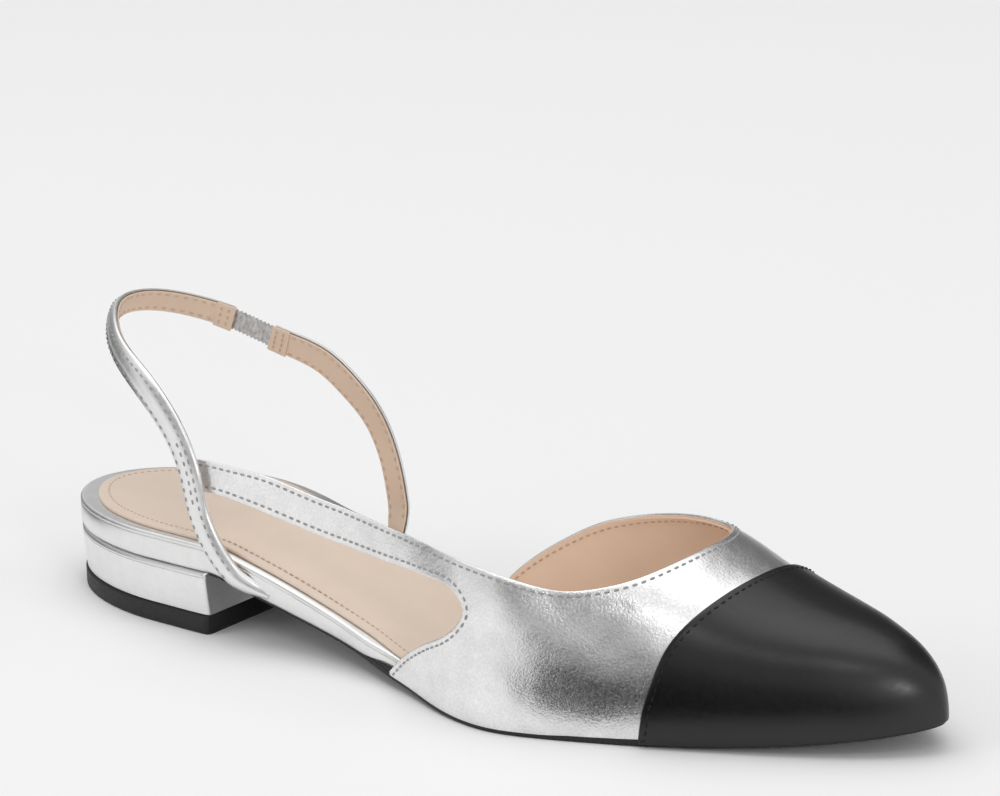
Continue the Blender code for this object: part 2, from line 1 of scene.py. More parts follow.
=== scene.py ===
"""Looks of a sling back flat for the right foot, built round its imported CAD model.

Shapes are worked out in millimetres in the shoe's own frame, where X runs from the back of the heel to the
toe, the outer side of the foot is at -Y and the floor is at Z = 0. Piece.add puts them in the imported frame,
in metres.
"""

import logging
from dataclasses import dataclass, field, replace
from enum import Enum
from functools import reduce
from typing import Callable, Sequence

import bpy
import numpy as np
from mathutils import Matrix


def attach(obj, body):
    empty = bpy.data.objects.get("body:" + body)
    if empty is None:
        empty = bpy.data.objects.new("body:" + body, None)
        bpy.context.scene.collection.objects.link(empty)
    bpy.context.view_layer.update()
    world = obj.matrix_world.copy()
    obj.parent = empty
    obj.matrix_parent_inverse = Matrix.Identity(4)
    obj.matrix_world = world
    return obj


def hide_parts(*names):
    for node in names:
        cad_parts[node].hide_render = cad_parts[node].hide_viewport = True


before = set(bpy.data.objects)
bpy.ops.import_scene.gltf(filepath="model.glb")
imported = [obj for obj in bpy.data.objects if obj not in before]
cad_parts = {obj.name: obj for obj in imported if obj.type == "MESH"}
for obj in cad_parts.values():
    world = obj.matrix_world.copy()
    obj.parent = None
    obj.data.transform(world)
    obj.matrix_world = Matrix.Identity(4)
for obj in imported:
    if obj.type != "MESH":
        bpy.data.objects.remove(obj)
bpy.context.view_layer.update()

log = logging.getLogger("sling back flat")

MM = 0.001
SHOE_ORIGIN = np.array([-133.163, 2.832, 0.0])
Array = np.ndarray
Rows = Sequence[tuple[float, ...]]
Surface = Callable[[Array, Array, Array], Array]
Socket = bpy.types.NodeSocket


class Slot(Enum):
    """Material slots of the record."""

    SILVER = "silver_leather"
    BLACK = "black_leather"
    RUBBER = "black_rubber"
    NUDE = "nude_leather"
    ELASTIC = "silver_elastic"


class Side(Enum):
    """Side of the shoe as a sign of Y."""

    NEAR = -1
    FAR = 1


# Curves and tables


def smooth_curve(knots: Array, values: Array, at: Array) -> Array:
    """Monotone cubic through the knots: a Hermite cubic whose slopes never overshoot the table.

    Args:
        knots: rising positions.
        values: value at each knot.
        at: positions to read.

    Returns:
        The curve's values at those positions.
    """
    knots, values = np.asarray(knots, float), np.asarray(values, float)
    step = np.diff(knots)
    slope = np.diff(values) / step
    tangent = np.empty_like(values)
    before, after = 2 * step[1:] + step[:-1], step[1:] + 2 * step[:-1]
    same_way = slope[1:] * slope[:-1] > 0
    safe = np.where(slope == 0, 1.0, slope)
    tangent[1:-1] = np.where(same_way, (before + after) / (before / safe[:-1] + after / safe[1:]), 0)
    tangent[0], tangent[-1] = slope[0], slope[-1]
    at = np.clip(at, knots[0], knots[-1])
    cell = np.clip(np.searchsorted(knots, at, side="right") - 1, 0, len(step) - 1)
    share = (at - knots[cell]) / step[cell]
    return (
        values[cell] * (1 + 2 * share) * (1 - share) ** 2
        + tangent[cell] * step[cell] * share * (1 - share) ** 2
        + values[cell + 1] * share**2 * (3 - 2 * share)
        + tangent[cell + 1] * step[cell] * share**2 * (share - 1)
    )


def natural_curve(knots: Array, values: Array, at: Array) -> Array:
    """Natural cubic spline: its second derivative is continuous and is zero at both ends.

    Args:
        knots: rising positions.
        values: one value, or one row of values, at each knot.
        at: positions to read.

    Returns:
        The spline's values at those positions.
    """
    knots, values = np.asarray(knots, float), np.asarray(values, float)
    flat = values.reshape(len(knots), -1)
    step = np.diff(knots)
    system = np.eye(len(knots))
    right = np.zeros_like(flat)
    inner = np.arange(1, len(knots) - 1)
    system[inner, inner - 1] = step[:-1]
    system[inner, inner] = 2 * (step[:-1] + step[1:])
    system[inner, inner + 1] = step[1:]
    slope = np.diff(flat, axis=0) / step[:, None]
    right[1:-1] = 6 * np.diff(slope, axis=0)
    bend = np.linalg.solve(system, right)
    at = np.clip(at, knots[0], knots[-1])
    cell = np.clip(np.searchsorted(knots, at, side="right") - 1, 0, len(step) - 1)
    width = step[cell][:, None]
    low = (knots[cell + 1] - at)[:, None] / width
    high = 1 - low
    curve = (
        low * flat[cell]
        + high * flat[cell + 1]
        + ((low**3 - low) * bend[cell] + (high**3 - high) * bend[cell + 1]) * width**2 / 6
    )
    return curve.reshape(len(at), *values.shape[1:])


def ramp(value: Array, start: float, end: float) -> Array:
    """Smooth step from 0 at start to 1 at end."""
    share = np.clip((np.asarray(value, float) - start) / (end - start), 0, 1)
    return share * share * (3 - 2 * share)


def bell(distance: Array, reach: float) -> Array:
    """Bell over a distance: 1 at its middle and about a third at one reach."""
    return np.exp(-((distance / reach) ** 2))


def softened(curve: Callable[[Array], Array], station: Array, reach: float = 0.014) -> Array:
    """A curve of the station with its kinks eased: the mean of nearby values under a bell of weights.

    Args:
        curve: function of the station.
        station: where to read it.
        reach: width of the bell, as a share of the foot.

    Returns:
        The eased values, which run back into the plain curve near both ends.
    """
    offsets = np.linspace(-2, 2, 9)
    weights = np.exp(-(offsets**2) / 2)
    weights /= weights.sum()
    eased = sum(weight * curve(station + offset * reach) for weight, offset in zip(weights, offsets))
    heel_ramp, toe_ramp = (0.19, 0.26), (0.86, 0.94)
    inside = ramp(station, *heel_ramp) * (1 - ramp(station, *toe_ramp))
    return curve(station) * (1 - inside) + eased * inside


def unit(vectors: Array) -> Array:
    """Vectors scaled to length one."""
    return vectors / np.maximum(np.linalg.norm(vectors, axis=-1, keepdims=True), 1e-12)


def length_along(points: Array) -> Array:
    """Length of the line through the points, from the first of them to each one."""
    return np.append(0, np.cumsum(np.linalg.norm(np.diff(points, axis=0), axis=1)))


def read_rows(at: Array, knots: Array, rows: Array) -> Array:
    """Rows of three numbers, read in straight lines between the knots."""
    return np.stack([np.interp(at, knots, rows[:, axis]) for axis in range(3)], axis=-1)


@dataclass(frozen=True)
class Last:
    """The form that the shoe is built on: plan, sole line and the upper's cross-sections.

    The tables hold the same rows as the CAD model's, as shares of the main sizes, and each starts with the
    station. Outline goes on with half width and centre, sole with underside and footbed thickness, edges with
    the grow of outsole, near footbed, far footbed and sock, and section with height, the powers of side and
    top, and bulge.
    """

    length: float = 265.0
    ball: float = 38.3
    heel: float = 28.0
    instep: float = 72.0
    heel_height: float = 17.0
    seat: float = 25.0
    toe_spring: float = 6.7
    outsole: float = 2.0
    gap: float = 0.3
    wall: float = 1.5
    breast: float = 64.0
    skirt: float = 1.1
    heel_end: float = 0.17
    toe_start: float = 0.64
    toe_powers: tuple[float, float] = (1.5, 1.62)
    spring_start: float = 0.72
    spring_power: float = 2.1
    tip_run: float = 0.1
    tip_power: float = 2.2
    skirt_reach: float = 8.0
    outline: Rows = (
        (0.0, 0.731, 0.040),
        (0.09, 0.731, 0.017),
        (0.17, 0.731, 0.0),
        (0.22, 0.736, -0.006),
        (0.30, 0.700, -0.034),
        (0.40, 0.642, -0.065),
        (0.50, 0.747, -0.117),
        (0.58, 0.915, -0.144),
        (0.64, 1.0, -0.102),
        (0.68, 1.0, -0.045),
        (0.74, 1.0, 0.047),
        (0.82, 1.0, 0.141),
        (0.88, 1.0, 0.183),
        (0.93, 1.0, 0.198),
        (1.00, 1.0, 0.212),
    )
    sole: Rows = (
        (0.0, 1.0, 0.471),
        (0.243, 0.976, 0.485),
        (0.30, 0.782, 0.488),
        (0.40, 0.388, 0.400),
        (0.46, 0.215, 0.335),
        (0.50, 0.123, 0.300),
        (0.60, 0.003, 0.276),
        (0.62, 0.0, 0.276),
        (1.0, 0.0, 0.276),
    )
    edges: Rows = (
        (0.0, 0.0, 0.0, 0.0, -3.6),
        (0.09, -0.1, 0.0, 0.0, -2.1),
        (0.30, -0.4, 0.0, 0.0, -1.5),
        (0.42, -0.3, 0.0, 0.0, -1.4),
        (0.45, 0.0, 0.0, -1.4, -1.9),
        (0.48, 0.2, -1.4, -1.4, -1.9),
        (0.76, 0.4, -1.4, -1.4, -1.9),
        (0.82, 0.6, -1.4, -1.4, -1.9),
        (1.0, 0.7, -1.4, -1.4, -1.9),
    )
    section: Rows = (
        (0.0, 1.0, 0.55, 0.90, 0.039),
        (0.30, 1.0, 0.58, 0.90, 0.039),
        (0.40, 0.944, 0.60, 0.90, 0.048),
        (0.50, 0.840, 0.70, 0.925, 0.057),
        (0.60, 0.722, 0.80, 0.95, 0.065),
        (0.68, 0.653, 0.83, 0.95, 0.060),
        (0.74, 0.598, 0.85, 0.95, 0.056),
        (0.82, 0.442, 0.85, 0.95, 0.050),
        (0.88, 0.358, 0.85, 0.95, 0.035),
        (0.94, 0.290, 0.85, 0.95, 0.015),
        (1.00, 0.261, 0.85, 0.95, 0.0),
    )

    def read(self, rows: Rows, column: int, station: Array) -> Array:
        """One column of a station table, read smoothly and with its kinks eased."""
        table = np.array(rows)
        return softened(lambda at: smooth_curve(table[:, 0], table[:, column], at), station)

    def along(self, station: Array, grow: Array = 0.0) -> Array:
        """X of a station on an outline that stands out by grow all round."""
        return station * self.length + grow * (2 * station - 1)

    def half_width(self, station: Array, grow: Array = 0.0) -> Array:
        """Half the plan's width: a quarter ellipse, then the table, then a superellipse at the toe.

        Args:
            station: share of the foot length.
            grow: how far the outline stands out.

        Returns:
            Half widths in millimetres.
        """

        def plain(at: Array) -> Array:
            """Half width before its joins are eased."""
            back = np.clip(1 - at / self.heel_end, 0, 1)
            heel = (self.heel + grow) * np.sqrt(np.clip(1 - back**2, 0, 1))
            share = np.clip((at - self.toe_start) / (1 - self.toe_start), 0, 1)
            toe = (self.ball + grow) * (1 - share ** self.toe_powers[0]) ** (1 / self.toe_powers[1])
            table = np.array(self.outline)
            waist = self.ball * smooth_curve(table[:, 0], table[:, 1], at) + grow
            return np.where(at < self.heel_end, heel, np.where(at > self.toe_start, toe, waist))

        return softened(plain, np.asarray(station, float))

    def centre(self, station: Array) -> Array:
        """Y of the middle of the plan, which turns the toe inwards."""
        return self.ball * self.read(self.outline, 2, station)

    def underside(self, station: Array) -> Array:
        """Z of the sole's underside: flat heel, arch, flat ball, then a rise to the toe."""
        rise = np.clip((station - self.spring_start) / (1 - self.spring_start), 0, 1)
        return self.heel_height * self.read(self.sole, 1, station) + self.toe_spring * rise**self.spring_power

    def outsole_top(self, station: Array) -> Array:
        """Z of the outsole's upper face."""
        return self.underside(station) + self.outsole

    def footbed_top(self, station: Array) -> Array:
        """Z of the footbed's upper face."""
        scale = (self.seat - self.heel_height) / self.sole[0][2]
        return self.underside(station) + scale * self.read(self.sole, 2, station)

    def edge_grow(self, column: int, station: Array) -> Array:
        """How far a layer of the sole stands out from the outline."""
        return self.wall * self.read(self.edges, column, station)

    def surface(self, station: Array, girth: Array, grow: Array = 0.0) -> Array:
        """Points of the upper's outside, or of a surface that stands out from it by grow.

        Each cross-section is a superellipse on the outsole with a bulge on both sides. Its height dies away
        over the last tenth of the toe. Its lowest part hangs over the outsole's edge as a skirt.

        Args:
            station: share of the foot length.
            girth: share of the way round, from the near feather edge to the far one.
            grow: how far outside the surface.

        Returns:
            Points in millimetres.
        """
        station, girth, grow = np.broadcast_arrays(station, girth, np.asarray(grow, float))
        cosine, sine = np.cos(np.pi * girth), np.abs(np.sin(np.pi * girth))
        near_tip = np.clip((station - (1 - self.tip_run)) / self.tip_run, 0, 1)
        tip = np.sqrt(1 - near_tip**self.tip_power)
        height = (self.instep * self.read(self.section, 1, station) + grow) * tip
        reach = self.half_width(station, grow) * np.abs(cosine) ** self.read(self.section, 2, station)
        bulge = self.ball * self.read(self.section, 4, station) * 2 * sine * np.abs(cosine) * tip
        rise = height * sine ** self.read(self.section, 3, station)
        rise = rise - self.skirt * (1 - ramp(rise, 0.0, self.skirt_reach))
        return np.stack(
            [
                self.along(station, grow),
                self.centre(station) - np.sign(cosine) * (reach + bulge),
                self.outsole_top(station) + self.gap + rise,
            ],
            axis=-1,
        )

    def normal(self, station: Array, girth: Array) -> Array:
        """Outward unit normals: the cross product of the surface's two small steps.

        Args:
            station: share of the foot length.
            girth: share of the way round.

        Returns:
            One normal for each point.
        """
        step, furthest, highest = 0.002, 0.995, 0.998
        ahead_at = np.minimum(station + step, furthest)
        up_at = np.minimum(girth + step, highest)
        along = self.surface(ahead_at, girth) - self.surface(ahead_at - 2 * step, girth)
        around = self.surface(station, up_at) - self.surface(station, up_at - 2 * step)
        return unit(np.cross(along, around))


# Edges of the upper, as station and girth

TOPLINE = np.array(
    [
        (0.232, 0.119),
        (0.270, 0.126),
        (0.317, 0.139),
        (0.386, 0.154),
        (0.464, 0.185),
        (0.518, 0.212),
        (0.571, 0.236),
        (0.617, 0.248),
        (0.655, 0.248),
        (0.690, 0.252),
        (0.717, 0.273),
        (0.741, 0.313),
        (0.761, 0.393),
        (0.768, 0.490),
        (0.761, 0.580),
        (0.742, 0.643),
        (0.713, 0.680),
        (0.661, 0.736),
        (0.620, 0.777),
        (0.581, 0.818),
        (0.542, 0.871),
        (0.503, 0.925),
        (0.475, 0.966),
        (0.456, 0.997),
    ]
)
CUT_OUT = np.array(
    [
        (0.232, 0.081),
        (0.270, 0.088),
        (0.340, 0.098),
        (0.411, 0.113),
        (0.495, 0.150),
        (0.552, 0.181),
        (0.586, 0.187),
        (0.600, 0.165),
        (0.592, 0.130),
        (0.558, 0.082),
        (0.512, 0.030),
        (0.487, 0.003),
    ]
)
CAP_SEAM = np.array(
    [
        (0.769, 0.0),
        (0.773, 0.048),
        (0.780, 0.115),
        (0.787, 0.189),
        (0.796, 0.259),
        (0.808, 0.355),
        (0.816, 0.476),
        (0.816, 0.584),
        (0.812, 0.700),
        (0.801, 0.820),
        (0.792, 0.920),
        (0.786, 1.0),
    ]
)

# Rows of both edges at the cut-out's nose, and rows of the topline at the throat's two corners
NOSE_ROW = 7
NEAR_CORNER = 10
FAR_CORNER = 16


@dataclass(frozen=True)
class Edge:
    """A drawn edge of the upper in station and girth, read as a spline along its length."""

    rows: Array

    def knots(self) -> Array:
        """Length along the edge at each row, with the station counted twice."""
        return length_along(self.rows * (2, 1))

    def points(self, first: int, last: int, count: int) -> Array:
        """Evenly spaced (station, girth) points from one row to another."""
        knots = self.knots()
        return natural_curve(knots, self.rows, np.linspace(knots[first], knots[last], count + 1))

    def whole(self, count: int) -> Array:
        """Evenly spaced points of the whole edge."""
        return self.points(0, len(self.rows) - 1, count)


def ruled(start: Array, end: Array, shares: Array) -> Array:
    """Grid between two edges: the straight mix of both at each share of the way."""
    shares = np.asarray(shares)[:, None, None]
    return start[None] * (1 - shares) + end[None] * shares


def straight(start: Sequence[float], end: Sequence[float], count: int) -> Array:
    """Points of a straight line between two (station, girth) corners."""
    return ruled(np.array([start]), np.array([end]), np.linspace(0, 1, count + 1))[:, 0]


def coons(low: Array, high: Array, left: Array, right: Array) -> Array:
    """Grid between four edges: the two ruled grids added, less the one of the four corners.

    Args:
        low: edge along the foot.
        high: the opposite edge, with as many points.
        left: edge from the first point of low to the first of high.
        right: edge from the last point of low to the last of high.

    Returns:
        Grid of rows by points by two.
    """
    across = np.linspace(0, 1, len(low))[None, :, None]
    up = ((left[:, 1] - left[0, 1]) / (left[-1, 1] - left[0, 1]))[:, None, None]
    corners = (
        low[0] * (1 - across) * (1 - up)
        + low[-1] * across * (1 - up)
        + high[0] * (1 - across) * up
        + high[-1] * across * up
    )
    sides = left[:, None] * (1 - across) + right[:, None] * across
    return sides + low[None] * (1 - up) + high[None] * up - corners


# Meshes


@dataclass
class Skin:
    """Points in millimetres and the faces between them."""

    points: Array
    faces: list[Array]

    @staticmethod
    def grid_faces(rows: int, columns: int, start: int = 0) -> Array:
        """Four-sided faces of a grid whose points are numbered row by row."""
        index = np.arange(rows * columns).reshape(rows, columns) + start
        corners = [index[:-1, :-1], index[:-1, 1:], index[1:, 1:], index[1:, :-1]]
        return np.stack([corner.ravel() for corner in corners], axis=-1)

    def joined(self, other: "Skin") -> "Skin":
        """Both skins as one."""
        moved = [faces + len(self.points) for faces in other.faces]
        return Skin(np.concatenate([self.points, other.points]), self.faces + moved)


def loft(rings: Array) -> Skin:
    """Closed skin through rings of points, each joined to the next point by point, with flat ends.

    Args:
        rings: array of rings by points by three.

    Returns:
        The skin.
    """
    count, size = rings.shape[:2]
    index = np.arange(count * size).reshape(count, size)
    around = np.roll(index, -1, axis=1)
    sides = np.stack([index[:-1], around[:-1], around[1:], index[1:]], axis=-1).reshape(-1, 4)
    return Skin(rings.reshape(-1, 3), [sides, index[:1, ::-1], index[-1:]])


def repeated(unit_skin: Skin, places: Array, directions: Array, normals: Array) -> Skin:
    """Copies of a small skin, each set at a place with its X along a direction and its Z along a normal.

    Args:
        unit_skin: the shape to repeat, round its own origin.
        places: where each copy goes.
        directions: the way that each copy runs.
        normals: the way that each copy's top faces.

    Returns:
        All the copies as one skin.
    """
    across = unit(np.cross(normals, directions))
    axes = np.stack([unit(directions), across, unit(np.cross(directions, across))], axis=1)
    points = np.einsum("pk,nkc->npc", unit_skin.points, axes) + places[:, None]
    size = len(unit_skin.points)
    starts = (np.arange(len(places)) * size)[:, None, None]
    faces = [(part[None] + starts).reshape(-1, part.shape[1]) for part in unit_skin.faces]
    return Skin(points.reshape(-1, 3), faces)


@dataclass(frozen=True)
class Stitch:
    """Size of one stitch, and the distance from one to the next."""

    length: float
    width: float
    height: float
    pitch: float

    def shape(self) -> Skin:
        """One stitch: a thread that rises from one hole and dives into the next, five rings of six points.

        Returns:
            The stitch along X, with its top at +Z.
        """
        sides = 6
        share = np.array([0.0, 0.12, 0.5, 0.88, 1.0])
        swell = np.array([0.45, 0.9, 1.0, 0.9, 0.45])
        lift = np.array([-0.9, 0.0, 0.35, 0.0, -0.9]) * self.height
        angle = np.linspace(0, 2 * np.pi, sides, endpoint=False)
        x = np.repeat(((share - 0.5) * self.length)[:, None], sides, axis=1)
        y = np.cos(angle)[None] * swell[:, None] * self.width / 2
        z = np.sin(angle)[None] * swell[:, None] * self.height / 2 + lift[:, None]
        return loft(np.stack([x, y, z], axis=-1))

    def along(self, path: Array, normals: Array) -> Skin:
        """Stitches set end to end along a path on a surface.

        Args:
            path: closely spaced points.
            normals: the surface's normal at each of them.

        Returns:
            All the stitches as one skin.
        """
        reach = 0.3
        length = length_along(path)
        count = max(int(length[-1] / self.pitch), 1)
        at = (np.arange(count) + 0.5) * length[-1] / count
        directions = unit(read_rows(at + reach, length, path) - read_rows(at - reach, length, path))
        tops = unit(read_rows(at, length, normals))
        return repeated(self.shape(), read_rows(at, length, path), directions, tops)

    def beside(self, rows: Sequence[tuple[Array, Array]]) -> Skin:
        """Several rows of stitches as one skin, each along a path with its normals."""
        skins = [self.along(path, normals) for path, normals in rows]
        return reduce(Skin.joined, skins)


def welded(panels: list[Array], place: Surface, outer: float) -> tuple[Array, Array, Array, Array]:
    """Panels joined where their points meet.

    Args:
        panels: grids of (station, girth) that meet point by point.
        place: surface of station, girth and grow.
        outer: grow of the face on which the points are compared.

    Returns:
        Each point's (station, girth), its place, the four-sided faces and the three-sided ones.
    """
    places = np.concatenate([panel.reshape(-1, 2) for panel in panels])
    starts = np.cumsum([0] + [panel.shape[0] * panel.shape[1] for panel in panels[:-1]])
    quads = np.concatenate([Skin.grid_faces(*panel.shape[:2], start) for panel, start in zip(panels, starts)])
    outside = place(places[:, 0], places[:, 1], np.full(len(places), outer))
    _, first, index = np.unique(np.round(outside, 3), axis=0, return_index=True, return_inverse=True)
    quads = index.reshape(-1)[quads]
    repeats = (np.diff(np.sort(quads, axis=1), axis=1) == 0).sum(axis=1)
    pointed = quads[repeats == 1]
    pointed = pointed[pointed != np.roll(pointed, -1, axis=1)].reshape(-1, 3)
    return places[first], outside[first], quads[repeats == 0], pointed


def free_edges(parts: Sequence[Array]) -> Array:
    """Edges that only one face has, each in the order in which that face runs round.

    Args:
        parts: arrays of faces.

    Returns:
        Rows of two point numbers.
    """
    pairs = [np.stack([part, np.roll(part, -1, axis=1)], axis=-1).reshape(-1, 2) for part in parts]
    ends = np.concatenate(pairs)
    _, which, times = np.unique(np.sort(ends, axis=1), axis=0, return_inverse=True, return_counts=True)
    return ends[times[which.reshape(-1)] == 1]


def wall(panels: list[Array], place: Surface, outer: float, inner: float, lip: float) -> Skin:
    """Closed wall between two surfaces, with a half round rim along every free edge.

    The rim's points run from the outer edge to the inner one along half a circle, squashed to lip.

    Args:
        panels: grids of (station, girth) that meet point by point.
        place: surface of station, girth and grow.
        outer: grow of the outer face.
        inner: grow of the inner face.
        lip: how far the rim stands out from the edge.

    Returns:
        The skin.
    """
    places, outside, whole, pointed = welded(panels, place, outer)
    inside = place(places[:, 0], places[:, 1], np.full(len(places), inner))
    free = free_edges((whole, pointed))
    count = len(places)
    step = outside[free[:, 1]] - outside[free[:, 0]]
    tangent = np.zeros((count, 3))
    np.add.at(tangent, free[:, 0], step)
    np.add.at(tangent, free[:, 1], step)
    edge = np.unique(free)
    outward = unit(np.cross(unit(tangent[edge]), unit(outside[edge] - inside[edge])))
    middle, half = (outside[edge] + inside[edge]) / 2, (outside[edge] - inside[edge]) / 2
    turns = np.linspace(0, np.pi, 7)[1:-1]
    rims = [middle + half * np.cos(turn) + outward * lip * np.sin(turn) for turn in turns]
    slot = np.zeros(count, int)
    slot[edge] = np.arange(len(edge))
    rim_levels = [2 * count + row * len(edge) + slot[free] for row in range(len(turns))]
    levels = [free, *rim_levels, free + count]
    bands = [
        np.stack([low[:, 1], low[:, 0], high[:, 0], high[:, 1]], axis=-1)
        for low, high in zip(levels, levels[1:])
    ]
    faces = [whole, whole[:, ::-1] + count, *bands, pointed, pointed[:, ::-1] + count]
    return Skin(np.concatenate([outside, inside, *rims]), faces)


# Finishes

Colour = tuple[float, float, float]
NOISE_RANGE = (0.3, 0.7)


def grey(shade: float) -> Colour:
    """A grey of one shade."""
    return (shade, shade, shade)


@dataclass
class NodeDraft:
    """A node tree under construction, with short ways to add and join its nodes."""

    tree: bpy.types.NodeTree

    def node(
        self, kind: str, values: dict[str | int, object] | None = None, **settings: object
    ) -> bpy.types.Node:
        """Adds a node.

        Args:
            kind: the node's type.
            values: socket values by socket name or number.
            settings: the node's own properties.

        Returns:
            The node.
        """
        added = self.tree.nodes.new(kind)
        for name, value in settings.items():
            setattr(added, name, value)
        for name, value in (values or {}).items():
            added.inputs[name].default_value = value
        return added

    def join(self, source: Socket, target: Socket) -> None:
        """Links one socket to another."""
        self.tree.links.new(source, target)

    def noise(self, scale: float, detail: float, roughness: float = 0.55) -> Socket:
        """Noise on Object coordinates.

        Args:
            scale: waves a metre.
            detail: how many finer layers it has.
            roughness: strength of the finer layers.

        Returns:
            Its value.
        """
        place = self.node("ShaderNodeTexCoord")
        noise = self.node("ShaderNodeTexNoise", {"Scale": scale, "Detail": detail, "Roughness": roughness})
        self.join(place.outputs["Object"], noise.inputs["Vector"])
        return noise.outputs["Fac"]

    def between(
        self,
        factor: Socket,
        low: float,
        high: float,
        span: Sequence[float] = NOISE_RANGE,
        kind: str = "LINEAR",
    ) -> Socket:
        """A span of a factor mapped to another one.

        Args:
            factor: the value to read.
            low: result at the start of the span.
            high: result at its end.
            span: start and end, those of noise by default.
            kind: shape of the way between them.

        Returns:
            The mapped value.
        """
        limits = {"From Min": span[0], "From Max": span[1], "To Min": low, "To Max": high}
        mapped = self.node("ShaderNodeMapRange", limits, clamp=True, interpolation_type=kind)
        self.join(factor, mapped.inputs["Value"])
        return mapped.outputs["Result"]

    def combined(self, operation: str, first: Socket, second: Socket) -> Socket:
        """Sum or product of two values.

        Args:
            operation: name of the operation.
            first: one value.
            second: the other one.

        Returns:
            The result.
        """
        math = self.node("ShaderNodeMath", operation=operation)
        self.join(first, math.inputs[0])
        self.join(second, math.inputs[1])
        return math.outputs[0]

    def blend(self, factor: Socket, low: Colour, high: Colour) -> Socket:
        """Colour that goes from low to high with the factor.

        Args:
            factor: share of the way.
            low: colour at 0.
            high: colour at 1.

        Returns:
            The colour.
        """
        mix = self.node("ShaderNodeMix", {6: (*low, 1.0), 7: (*high, 1.0)}, data_type="RGBA")
        self.join(factor, mix.inputs[0])
        return mix.outputs[2]

    def bump(self, height: Socket, depth: float, below: Socket | None = None) -> Socket:
        """Bump of a height field.

        Args:
            height: the field.
            depth: its depth in metres.
            below: another bump that it lies on.

        Returns:
            The bent normal.
        """
        bump = self.node("ShaderNodeBump", {"Strength": 1.0, "Distance": depth})
        self.join(height, bump.inputs["Height"])
        if below is not None:
            self.join(below, bump.inputs["Normal"])
        return bump.outputs["Normal"]


@dataclass(frozen=True)
class Leather:
    """Finish of a leather: its two shades, its shine, and the depth of its grain and of its soft waves."""

    name: str
    light: Colour
    dark: Colour
    roughness: tuple[float, float]
    metallic: float = 0.0
    grain_scale: float = 2200.0
    grain_depth: float = 0.00004
    wave_scale: float = 90.0
    wave_depth: float = 0.0002
    mottle: float = 0.3
    specular: float = 0.5
    patch_scale: float = 2.5

    def material(self) -> bpy.types.Material:
        """Principled material: noise varies its colour and shine, and two bumps give waves and grain.

        Returns:
            The material.
        """
        material = bpy.data.materials.new(self.name)
        material.use_nodes = True
        draft = NodeDraft(material.node_tree)
        inputs = material.node_tree.nodes["Principled BSDF"].inputs
        grain = draft.noise(self.grain_scale, 1.0, 0.5)
        patches = draft.between(draft.noise(self.wave_scale * self.patch_scale, 3.0), 0, 1 - self.mottle)
        shade = draft.combined("ADD", patches, draft.between(grain, 0, self.mottle))
        draft.join(draft.blend(shade, self.dark, self.light), inputs["Base Color"])
        draft.join(draft.between(grain, *self.roughness), inputs["Roughness"])
        waves = draft.bump(draft.noise(self.wave_scale, 2.5, 0.45), self.wave_depth)
        draft.join(draft.bump(grain, self.grain_depth, waves), inputs["Normal"])
        inputs["Metallic"].default_value = self.metallic
        inputs["Specular IOR Level"].default_value = self.specular
        return material


SILVER = Leather(
    name="silver leather",
    light=(0.98, 0.975, 0.975),
    dark=(0.76, 0.755, 0.755),
    metallic=1.0,
    roughness=(0.285, 0.36),
    grain_scale=1700.0,
    grain_depth=0.00006,
    wave_scale=65.0,
    wave_depth=0.0005,
    mottle=0.55,
)
SILVER_TRIM = Leather(
    name="silver leather trim",
    light=(0.88, 0.877, 0.875),
    dark=(0.82, 0.817, 0.815),
    metallic=0.9,
    roughness=(0.285, 0.37),
    grain_scale=900.0,
    grain_depth=0.000006,
    wave_depth=0.00008,
)
BLACK = Leather(
    name="black leather",
    light=(0.004, 0.0036, 0.0045),
    dark=(0.003, 0.0026, 0.0035),
    roughness=(0.3, 0.36),
    grain_scale=900.0,
    grain_depth=0.000008,
    wave_scale=45.0,
    wave_depth=0.0003,
    specular=0.58,
)
RUBBER = Leather(
    name="black rubber",
    light=(0.010, 0.010, 0.0105),
    dark=(0.007, 0.007, 0.0075),
    roughness=(0.5, 0.62),
    grain_scale=1200.0,
    grain_depth=0.00002,
    wave_depth=0.0,
)
LINING = Leather(
    name="nude lining leather",
    light=(0.73, 0.57, 0.445),
    dark=(0.69, 0.53, 0.41),
    roughness=(0.5, 0.65),
    grain_scale=1500.0,
    grain_depth=0.00002,
    wave_scale=40.0,
    wave_depth=0.0001,
)
# Painted light: the vamp's lining is the same nude leather as LINING, painted about a quarter lighter to make
# up for the shade inside the upper.
LIGHTENED_VAMP_LINING = replace(LINING, name="nude vamp lining painted lighter", light=(0.92, 0.72, 0.57), dark=(0.88, 0.68, 0.53))
SOCK = replace(
    LINING,
    name="nude sock leather",
    light=(0.79, 0.66, 0.55),
    dark=(0.755, 0.625, 0.515),
    roughness=(0.45, 0.6),
    wave_depth=0.00008,
)
GREY_THREAD = Leather(
    name="grey thread", light=grey(0.40), dark=grey(0.27), roughness=(0.5, 0.7), grain_scale=4000.0
)
BLACK_THREAD = replace(GREY_THREAD, name="black thread", light=grey(0.004), dark=grey(0.002))
NUDE_THREAD = replace(
    GREY_THREAD, name="nude thread", light=(0.62, 0.46, 0.36), dark=(0.54, 0.39, 0.30), roughness=(0.6, 0.8)
)
ELASTIC = Leather(
    name="silver elastic",
    light=grey(0.66),
    dark=grey(0.34),
    metallic=0.6,
    roughness=(0.32, 0.5),
    grain_scale=900.0,
    grain_depth=0.00008,
    mottle=0.7,
)
FLOOR = Leather(
    name="pale floor",
    light=grey(0.95),
    dark=grey(0.945),
    roughness=(0.9, 0.95),
    grain_depth=0.0,
    wave_depth=0.0,
    specular=0.0,
)
CARD = replace(FLOOR, name="dark card", light=grey(0.02), dark=grey(0.015), roughness=(0.8, 0.9))


